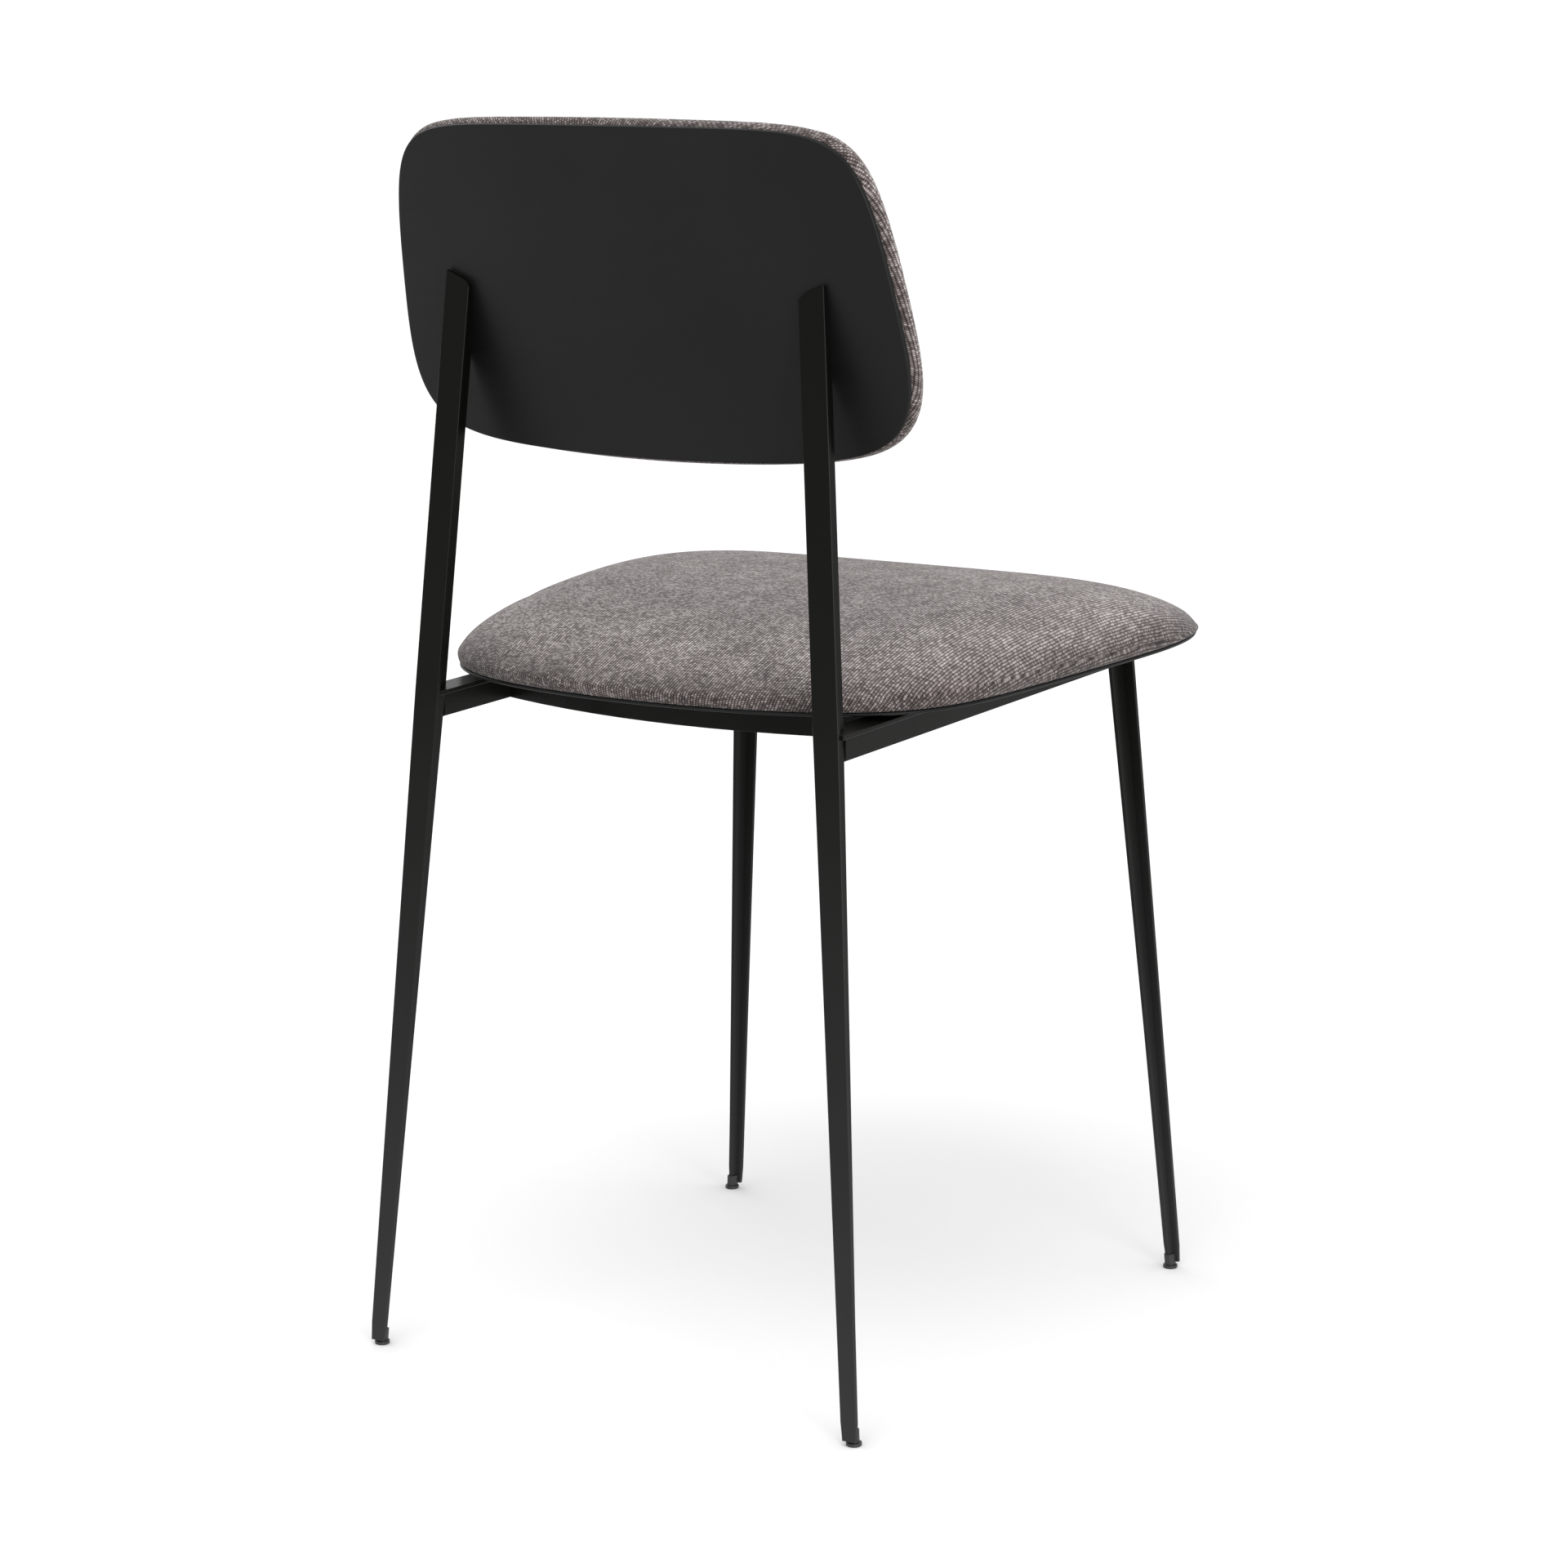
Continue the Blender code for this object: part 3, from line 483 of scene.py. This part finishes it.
def closed_rings(name, rings, top, bottom, material):
    """A closed body through rings, capped by fans at its two middle points."""
    bm = bmesh.new()
    loops = [[bm.verts.new(p) for p in ring] for ring in rings]
    count = len(loops[0])
    for a, b in zip(loops, loops[1:]):
        for i in range(count):
            j = (i + 1) % count
            bm.faces.new((a[i], a[j], b[j], b[i]))
    for middle, loop in ((top, loops[0]), (bottom, loops[-1])):
        centre = bm.verts.new(middle)
        for i in range(count):
            bm.faces.new((centre, loop[i], loop[(i + 1) % count]))
    return make_mesh(name, bm, material)


def rail_top(forward):
    return RAIL_TOP_Z + RAIL_RISE * forward


def tray_top(reach, forward):
    """The tray lies flat on the rails and rises to its rim."""
    base = rail_top(forward) + GAP + TRAY_THICKNESS
    rim = SEAT_RIM_Z + SEAT_RIM_RISE * forward
    share = np.maximum(0.0, (reach - TRAY_FLAT) / (1 - TRAY_FLAT))
    return base + (rim - base) * share**TRAY_CURVE


def pad_top(reach, forward, inset=0.0):
    """Height of the seat pad, down to its widest ring."""
    rim = SEAT_RIM_Z + SEAT_RIM_RISE * forward + GAP
    off = forward - PAD_CREST_FORWARD
    fall = np.where(off > 0, PAD_FALL_FRONT, PAD_FALL_REAR)
    waist = np.clip(PAD_WAIST - PAD_WAIST_SLOPE * off, PAD_WAIST_LEAST, PAD_WAIST_MOST)
    dome = np.maximum(1 - reach**PAD_SHOULDER, 0.0) ** (1 / PAD_ROUNDNESS)
    return rim + waist + (PAD_HEIGHT - fall * off**2 - waist - inset) * dome


def back_point(x, height, forward):
    """A point of the back: height along the panel, and distance forward of its bowed rear face."""
    deep = forward + BACK_BOW * x**2 * math.cos(BACK_LEAN)
    away = BACK_FORWARD - height * math.sin(BACK_LEAN) + deep * math.cos(BACK_LEAN)
    return world(x, away, BACK_Z + height * math.cos(BACK_LEAN) + deep * math.sin(BACK_LEAN))


def back_pad_depth(reach, inset=0.0):
    straight = BACK_PAD_SIDE * BACK_PAD_THICKNESS
    dome = np.maximum(1 - reach**BACK_PAD_ROUNDNESS, 0.0) ** (1 / BACK_PAD_ROUNDNESS)
    return PANEL_THICKNESS + GAP + straight + (BACK_PAD_THICKNESS - straight) * dome - inset


# ---------------------------------------------------------------- the panel and the tray


def make_seat_tray(outline, material):
    """Pressed tray with a rounded lip."""
    half = TRAY_THICKNESS / 2
    rings = []

    def ring(reach, inset, drop):
        points = []
        for point in outline:
            x, forward = toward(point, SEAT_CENTRE, reach, inset)
            points.append(world(x, forward, float(tray_top(reach, forward)) - drop))
        rings.append(points)

    reaches = [0.2, 0.5, TRAY_FLAT, 0.85, 0.88, 0.91, 0.94, 0.97]
    for reach in reaches:
        ring(reach, 0.0, 0.0)
    for angle in range(0, 181, 20):
        turn = math.radians(angle)
        ring(1.0, half * (1 - math.sin(turn)), half * (1 - math.cos(turn)))
    for reach in reversed(reaches):
        ring(reach, 0.0, TRAY_THICKNESS)
    top = world(*SEAT_CENTRE, float(tray_top(0.0, SEAT_CENTRE[1])))
    return closed_rings("seat_tray", rings, top, top - Vector((0, 0, TRAY_THICKNESS)), material)


def make_back_panel(outline, material):
    """Bowed panel with softly rounded edges."""
    r, t = PANEL_ROUND, PANEL_THICKNESS
    rings = []

    def ring(reach, inset, forward):
        rings.append([back_point(*toward(p, BACK_CENTRE, reach, inset), forward) for p in outline])

    inner = [0.1, 0.2, 0.3, 0.4, 0.5, 0.6, 0.7, 0.8, 0.9]
    for reach in inner:
        ring(reach, 0.0, 0.0)
    ring(1.0, 3 * r, 0.0)
    for angle in range(0, 91, 15):
        turn = math.radians(angle)
        ring(1.0, r * (1 - math.sin(turn)), r * (1 - math.cos(turn)))
    for angle in range(0, 91, 30):
        turn = math.radians(angle)
        ring(1.0, 0.5 * r * (1 - math.cos(turn)), t - 0.5 * r * (1 - math.sin(turn)))
    ring(1.0, 3 * r, t)
    for reach in reversed(inner):
        ring(reach, 0.0, t)
    return closed_rings("back_panel", rings, back_point(0, 0, 0), back_point(0, 0, t), material)


# ---------------------------------------------------------------- upholstery


def outline_radius(outline, centre, angle):
    """Distance from the centre to the outline in each direction."""
    offsets = np.array(outline) - centre
    bearings = np.arctan2(offsets[:, 1], offsets[:, 0])
    order = np.argsort(bearings)
    return np.interp(angle, bearings[order], np.hypot(*offsets.T)[order], period=2 * math.pi)


def vertex_array(mesh):
    data = np.empty(len(mesh.vertices) * 3)
    mesh.vertices.foreach_get("co", data)
    return data.reshape(-1, 3)


def seat_place(points):
    """(x, forward, z) of points of the seat."""
    return points[:, 0], DATUM_Y - points[:, 1], points[:, 2]


def back_place(points):
    """(x, height along the panel, distance forward of the panel's rear face) of points of the back."""
    away = DATUM_Y - points[:, 1] - BACK_FORWARD
    up = points[:, 2] - BACK_Z
    deep = away * math.cos(BACK_LEAN) + up * math.sin(BACK_LEAN)
    height = up * math.cos(BACK_LEAN) - away * math.sin(BACK_LEAN)
    return points[:, 0], height, deep - BACK_BOW * points[:, 0] ** 2 * math.cos(BACK_LEAN)


def polar(a, b, outline, centre):
    """Bearing, distance and reach of points from the middle of an outline."""
    angle = np.arctan2(b - centre[1], a - centre[0])
    distance = np.hypot(a - centre[0], b - centre[1])
    return angle, distance, distance / outline_radius(outline, centre, angle)


def inflate(obj, hold):
    """Swells a pad by cloth simulation under inner pressure; hold(points) gives each point's pinning."""
    mesh = obj.data
    start = vertex_array(mesh)
    group = obj.vertex_groups.new(name="held")
    for index, weight in enumerate(hold(start)):
        group.add([index], float(weight), "REPLACE")
    cloth = obj.modifiers.new("puff", "CLOTH")
    settings = cloth.settings
    settings.use_pressure = True
    settings.uniform_pressure_force = CLOTH_PRESSURE
    settings.effector_weights.gravity = 0.0
    settings.vertex_group_mass = group.name
    settings.tension_stiffness = CLOTH_STIFFNESS
    settings.compression_stiffness = CLOTH_STIFFNESS
    settings.bending_stiffness = CLOTH_BENDING
    settings.quality = CLOTH_QUALITY
    cloth.point_cache.frame_start = 1
    cloth.point_cache.frame_end = SIM_FRAMES
    for number in range(1, SIM_FRAMES + 1):
        bpy.context.scene.frame_set(number)
    evaluated = obj.evaluated_get(bpy.context.evaluated_depsgraph_get())
    moved = vertex_array(evaluated.data) - start
    obj.modifiers.remove(cloth)
    bpy.context.scene.frame_set(1)
    length = np.linalg.norm(moved, axis=1)
    moved *= np.minimum(1.0, SIM_CAP / np.maximum(length, 1e-9))[:, None]
    set_vertices(mesh, start + moved)
    obj.vertex_groups.remove(group)


def set_vertices(mesh, points):
    mesh.vertices.foreach_set("co", np.ascontiguousarray(points, dtype=np.float64).ravel())
    mesh.update()


def apply_modifier(obj, kind, **settings):
    """Adds a modifier and makes its result the mesh."""
    modifier = obj.modifiers.new("work", kind)
    for key, value in settings.items():
        setattr(modifier, key, value)
    graph = bpy.context.evaluated_depsgraph_get()
    mesh = bpy.data.meshes.new_from_object(obj.evaluated_get(graph))
    obj.modifiers.remove(modifier)
    old = obj.data
    obj.data = mesh
    mesh.name = obj.name
    bpy.data.meshes.remove(old)


def store_weave(mesh, a, b, extra, outline, centre, painted_hem_shade):
    """Writes the cloth's own coordinates, distance over the surface by bearing, and how near the hem is,
    which sets the painted shade there.
    """
    angle, distance, _ = polar(a, b, outline, centre)
    length = distance + extra
    data = np.stack([length * np.cos(angle), length * np.sin(angle), painted_hem_shade * PAINTED_SHADE_SCALE], axis=1)
    attribute = mesh.attributes.new("weave", "FLOAT_VECTOR", "POINT")
    attribute.data.foreach_set("vector", data.ravel())


def surface_excess(a, b, height, outline, centre, profile):
    """How much longer the way over the pad is than the level distance from its middle."""
    angle, distance, reach = polar(a, b, outline, centre)
    reach = np.minimum(reach, 1.0)
    radius = outline_radius(outline, centre, angle)
    total = np.zeros_like(distance)
    before = None
    for step in range(EXCESS_STEPS + 1):
        share = reach * step / EXCESS_STEPS
        level = share * radius
        rise = profile(share, centre[1] + level * np.sin(angle))
        if before is not None:
            total += np.hypot(level - before[0], rise - before[1])
        before = (level, rise)
    below = np.maximum(before[1] - height, 0.0)
    return total + below - distance


def even_outline(outline, count):
    """count points spaced evenly along a closed outline, from its first point."""
    loop = np.array(outline + outline[:1])
    along = np.concatenate([[0.0], np.cumsum(np.hypot(*np.diff(loop, axis=0).T))])
    places = along[-1] * np.arange(count) / count
    return np.stack([np.interp(places, along, loop[:, k]) for k in range(2)], axis=1)


def square_loop(k):
    """Cells of a square ring k cells out from the middle, from its lower middle, counterclockwise."""
    corners = [(k, -k), (k, k), (-k, k), (-k, -k)]
    loop = []
    for (ax, ay), (bx, by) in zip(corners, corners[1:] + corners[:1]):
        step = ((bx > ax) - (bx < ax), (by > ay) - (by < ay))
        loop += [(ax + step[0] * i, ay + step[1] * i) for i in range(2 * k)]
    return loop[-k:] + loop[:-k]


def cell_grid(bm, outline, place):
    """A skin of squares over an outline: place(outline point, reach) gives each corner."""
    corners = {(0, 0): bm.verts.new(place(outline[0], 0.0))}
    for k in range(1, PAD_CELLS + 1):
        share = k / PAD_CELLS
        reach = 0.5 * share + 0.5 * math.sin(math.pi / 2 * share)
        loop = square_loop(k)
        for cell, point in zip(loop, even_outline(outline, len(loop))):
            corners[cell] = bm.verts.new(place(point, reach))
    for i in range(-PAD_CELLS, PAD_CELLS):
        for j in range(-PAD_CELLS, PAD_CELLS):
            bm.faces.new([corners[c] for c in ((i, j), (i + 1, j), (i + 1, j + 1), (i, j + 1))])
    return [corners[cell] for cell in square_loop(PAD_CELLS)]


def pad_object(name, outline, top, wall, bottom, wall_steps, material):
    """Closed pad of squares: a top skin, a wall in wall_steps rings, and a bottom skin."""
    bm = bmesh.new()
    loops = [cell_grid(bm, outline, top)]
    edge = even_outline(outline, len(loops[0]))
    for step in wall_steps:
        loops.append([bm.verts.new(wall(point, step)) for point in edge])
    loops.append(cell_grid(bm, outline, bottom))
    for a, b in zip(loops, loops[1:]):
        for i in range(len(a)):
            j = (i + 1) % len(a)
            bm.faces.new((a[i], a[j], b[j], b[i]))
    return make_mesh(name, bm, material)


def smooth_steps(value, low, high):
    share = np.clip((value - low) / (high - low), 0.0, 1.0)
    return share * share * (3 - 2 * share)


def make_seat_pad(outline, material):
    """Foam seat with its fabric cover, tucked in on the tray's rim."""

    def top(point, reach):
        x, forward = toward(point, SEAT_CENTRE, reach, SIM_INSET - PAD_BULGE)
        return world(x, forward, float(pad_top(reach, forward, SIM_INSET)))

    def wall(point, step):
        """Down the side from the widest ring, step 0, to the hem, step 1."""
        x, forward = toward(point, SEAT_CENTRE, 1.0, HEM_INSET * step**3 - PAD_BULGE * (1 - step**3))
        rim = SEAT_RIM_Z + SEAT_RIM_RISE * forward + GAP
        return world(x, forward, rim + (float(pad_top(1.0, forward)) - rim) * (1 - step))

    def bottom(point, reach):
        x, forward = toward(point, SEAT_CENTRE, reach, SEAT_HEM_TUCK)
        low = float(tray_top(reach, forward)) + GAP
        if reach <= BOARD_REACH:
            low = rail_top(forward) + BOARD_TOP
        return world(x, forward, low)

    pad = pad_object("seat_pad", outline, top, wall, bottom, SEAT_WALL_STEPS, material)

    def above_tray(points):
        x, forward, z = seat_place(points)
        _, _, reach = polar(x, forward, outline, SEAT_CENTRE)
        return z - tray_top(np.minimum(reach, 1.0), forward)

    def hold(points):
        return 1.0 - smooth_steps(above_tray(points), *SEAT_HELD_HEIGHTS)

    inflate(pad, hold)
    apply_modifier(pad, "SUBSURF", levels=2)
    mesh = pad.data
    points = vertex_array(mesh)
    points[:, 2] += np.maximum(GAP - above_tray(points), 0.0)
    set_vertices(mesh, points)
    x, forward, z = seat_place(points)
    extra = surface_excess(x, forward, z, outline, SEAT_CENTRE, pad_top)
    # Painted shade over the band of cloth just above the tray
    painted_hem_shade = 1.0 - smooth_steps(above_tray(points), 0.0, SEAT_PAINTED_SHADE_BAND)
    store_weave(mesh, x, forward, extra, outline, SEAT_CENTRE, painted_hem_shade)
    mesh.shade_smooth()
    return pad


def make_back_pad(outline, material):
    """Foam back pad with its fabric cover, glued against the panel."""
    near = PANEL_THICKNESS + GAP

    def bulge(point):
        """How far the pad's side stands out of the panel's edge: most along the bottom."""
        return BACK_PAD_BULGE + BACK_PAD_LOW_BULGE * float(smooth_steps(-point[1], *BACK_PAD_LOW_BAND))

    def top(point, reach):
        inset = SIM_INSET - bulge(point)
        depth = float(back_pad_depth(reach, SIM_INSET * (1 - reach**4)))
        return back_point(*toward(point, BACK_CENTRE, reach, inset * reach**4), depth)

    def wall(point, step):
        """Back along the side from the dome's edge, step 0, to the hem, step 1."""
        swell = bulge(point) * (1 - step**3) + BACK_PAD_SIDE_ROUND * math.sin(math.pi * step)
        depth = near + (float(back_pad_depth(1.0)) - near) * (1 - step)
        return back_point(*toward(point, BACK_CENTRE, 1.0, HEM_INSET - swell), depth)

    def bottom(point, reach):
        return back_point(*toward(point, BACK_CENTRE, reach, BACK_HEM_TUCK), near)

    pad = pad_object("back_pad", outline, top, wall, bottom, BACK_WALL_STEPS, material)

    def hold(points):
        _, _, depth = back_place(points)
        return 1.0 - smooth_steps(depth - near, *BACK_HELD_DEPTHS)

    inflate(pad, hold)
    apply_modifier(pad, "SUBSURF", levels=2)
    mesh = pad.data
    points = vertex_array(mesh)
    x, height, depth = back_place(points)
    push = np.maximum(near - depth, 0.0)
    points[:, 1] -= push * math.cos(BACK_LEAN)
    points[:, 2] += push * math.sin(BACK_LEAN)
    set_vertices(mesh, points)
    x, height, depth = back_place(points)
    extra = surface_excess(x, height, depth, outline, BACK_CENTRE,
                           lambda reach, _: back_pad_depth(reach))
    # Painted shade over the band of cloth just off the panel
    painted_hem_shade = 1.0 - smooth_steps(depth - near, 0.0, BACK_PAINTED_SHADE_BAND)
    store_weave(mesh, x, height, extra, outline, BACK_CENTRE, painted_hem_shade)
    mesh.shade_smooth()
    return pad


# ---------------------------------------------------------------- welds


def add_bead(bm, start, end):
    """A short rippled weld bead between two points."""
    axis = end - start
    length = axis.length
    axis.normalize()
    side = axis.orthogonal().normalized()
    other = axis.cross(side)
    steps = max(8, int(length / BEAD_STEP))
    loops = []
    for step in range(steps + 1):
        share = step / steps
        ripple = 1 - BEAD_RIPPLE_DEPTH * (1 - abs(math.sin(math.pi * share * length / BEAD_RIPPLE)))
        reach = BEAD_RADIUS * ripple * (1 - BEAD_END_TAPER * abs(2 * share - 1) ** 6)
        centre = start + axis * (length * share)
        loop = []
        for k in range(BEAD_SIDES):
            turn = 2 * math.pi * k / BEAD_SIDES
            loop.append(bm.verts.new(centre + (side * math.cos(turn) + other * math.sin(turn)) * reach))
        loops.append(loop)
    for a, b in zip(loops, loops[1:]):
        for i in range(BEAD_SIDES):
            j = (i + 1) % BEAD_SIDES
            bm.faces.new((a[i], a[j], b[j], b[i]))
    bm.faces.new(loops[0])
    bm.faces.new(loops[-1])


def side_rail_x(forward):
    return SIDE_RAIL_X_REAR - SIDE_RAIL_TAPER * forward


def rear_leg_x(z):
    return REAR_LEG_X - REAR_LEG_SPLAY * z


def make_welds(name, side, material):
    """The beads of one side: rear leg, front leg, both cross rails and the seat tabs."""
    bm = bmesh.new()

    def bead(start, end):
        add_bead(bm, *(world(side * x, forward, z) for x, forward, z in (start, end)))

    # Rear leg: up both faces of the rail's stem, and under its flange, along the leg's flange
    joint = REAR_JOINT_FORWARD
    low = rail_top(joint) - BAR_HEIGHT + STEM_BEAD_SHORT
    high = rail_top(joint) - PLATE
    flange = REAR_LEG_LEAN * high + PLATE
    for face in (-1, 1):
        x = side_rail_x(joint) + face * PLATE / 2
        bead((x, joint, low), (x, joint, high))
        x = rear_leg_x(high)
        bead((x + face * FLANGE_BEAD_START, flange, high - BEAD_DROP),
             (x + face * REAR_BEAD_END, flange, high - BEAD_DROP))
    # Front leg: under the flange, where it meets the leg's flange and its stem
    joint = FRONT_JOINT_FORWARD
    for face in (-1, 1):
        x = side_rail_x(joint)
        z = rail_top(joint) - PLATE
        bead((x + face * FLANGE_BEAD_START, joint, z - BEAD_DROP),
             (x + face * FRONT_BEAD_END, joint, z - BEAD_DROP))
        stem = joint - LEG_DEPTH + PLATE
        bead((x + face * PLATE / 2, stem, z - BAR_HEIGHT + FRONT_STEM_BEAD_SHORT),
             (x + face * PLATE / 2, stem, z))
    # Cross rails: on both faces of the stem, and under the flange's seam
    for forward, bow in ((REAR_RAIL_FORWARD, REAR_RAIL_BOW), (FRONT_RAIL_FORWARD, 0.0)):
        middle = forward + bow * SIDE_RAIL_X_REAR**2
        x = side_rail_x(middle) - PLATE / 2
        for face in (-1, 1):
            here = middle + face * PLATE / 2
            z = rail_top(here)
            bead((x, here, z - BAR_HEIGHT + STEM_BEAD_SHORT), (x, here, z - PLATE))
            seam = side_rail_x(here) - BAR_WIDTH / 2
            far = middle + face * SEAM_BEAD[1]
            bead((seam, here + face * SEAM_BEAD[0], z - PLATE), (seam, far, rail_top(far) - PLATE))
    # Seat tabs: along the rail's edge, below
    for forward in TAB_FORWARD:
        ends = []
        for end in (-TAB_BEAD_HALF, TAB_BEAD_HALF):
            here = forward + end
            ends.append((side_rail_x(here) - BAR_WIDTH / 2, here, rail_top(here) - TAB_THICKNESS))
        bead(*ends)
    return make_mesh(name, bm, material)


# ---------------------------------------------------------------- build

paint = powder_coat()
shell = shell_coat()
fabric = weave_fabric()
finishes = {
    "frame_paint": paint,
    "shell_paint": shell,
    "glide": glide_plastic(),
    "fixings": zinc_steel(),
    "board": plywood(),
    "foam": fabric,
    "fabric": fabric,
}
for part in frame["record"]["subparts"]:
    node = frame["nodes"][part["node"]]
    node.data.materials.clear()
    node.data.materials.append(finishes[part["material_slot"]])

seat_outline = whole_outline(SEAT_OUTLINE)
back_outline = whole_outline(BACK_OUTLINE)
seat_tray = make_seat_tray(seat_outline, shell)
back_panel = make_back_panel(back_outline, shell)
seat_pad = make_seat_pad(seat_outline, fabric)
back_pad = make_back_pad(back_outline, fabric)
pieces = [
    (seat_tray, "shell_paint", ["seat_shell"]),
    (back_panel, "shell_paint", ["back_shell"]),
    (seat_pad, "fabric", ["seat_cover", "seat_foam"]),
    (back_pad, "fabric", ["back_cover", "back_foam"]),
]
for piece, slot, nodes in pieces:
    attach(piece, "root")
    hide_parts(*nodes)
for name, side in (("welds_left", 1), ("welds_right", -1)):
    welds = make_welds(name, side, paint)
    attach(welds, "root")

# ---------------------------------------------------------------- studio


def make_floor():
    bm = bmesh.new()
    bmesh.ops.create_grid(bm, x_segments=8, y_segments=8, size=FLOOR_HALF)
    floor = make_mesh("studio_floor", bm, studio_floor(), smooth=False)


def make_light(name, place, target, size, power):
    data = bpy.data.lights.new(name, "AREA")
    data.shape = "DISK"
    data.size = size
    data.energy = power
    light = bpy.data.objects.new(name, data)
    bpy.context.scene.collection.objects.link(light)
    light.location = place
    light.rotation_euler = (Vector(target) - Vector(place)).to_track_quat("-Z", "Y").to_euler()


def make_world(strength):
    sky = bpy.data.worlds.new("studio")
    bpy.context.scene.world = sky
    sky.use_nodes = True
    background = sky.node_tree.nodes["Background"]
    background.inputs["Color"].default_value = (1.0, 1.0, 1.0, 1.0)
    background.inputs["Strength"].default_value = strength


def make_camera():
    """Behind the chair on the sitter's right, looking slightly down."""
    heading, pitch, roll = CAMERA_HEADING, CAMERA_PITCH, CAMERA_ROLL
    forward = Vector((math.sin(heading) * math.cos(pitch), -math.cos(heading) * math.cos(pitch),
                      -math.sin(pitch)))
    level = Vector((-math.cos(heading), -math.sin(heading), 0.0))
    upright = level.cross(forward)
    right = level * math.cos(roll) + upright * math.sin(roll)
    up = upright * math.cos(roll) - level * math.sin(roll)
    data = bpy.data.cameras.new("camera")
    data.sensor_width = 36.0
    data.lens = CAMERA_LENS
    data.clip_end = 200.0
    camera = bpy.data.objects.new("camera", data)
    bpy.context.scene.collection.objects.link(camera)
    rotation = Matrix((right, up, -forward)).transposed()
    camera.matrix_world = Matrix.Translation(CAMERA_PLACE) @ rotation.to_4x4()
    bpy.context.scene.camera = camera


make_floor()
make_world(SKY_STRENGTH)
for light in LIGHTS:
    make_light(*light)
make_camera()
bpy.context.scene.view_settings.view_transform = "Standard"
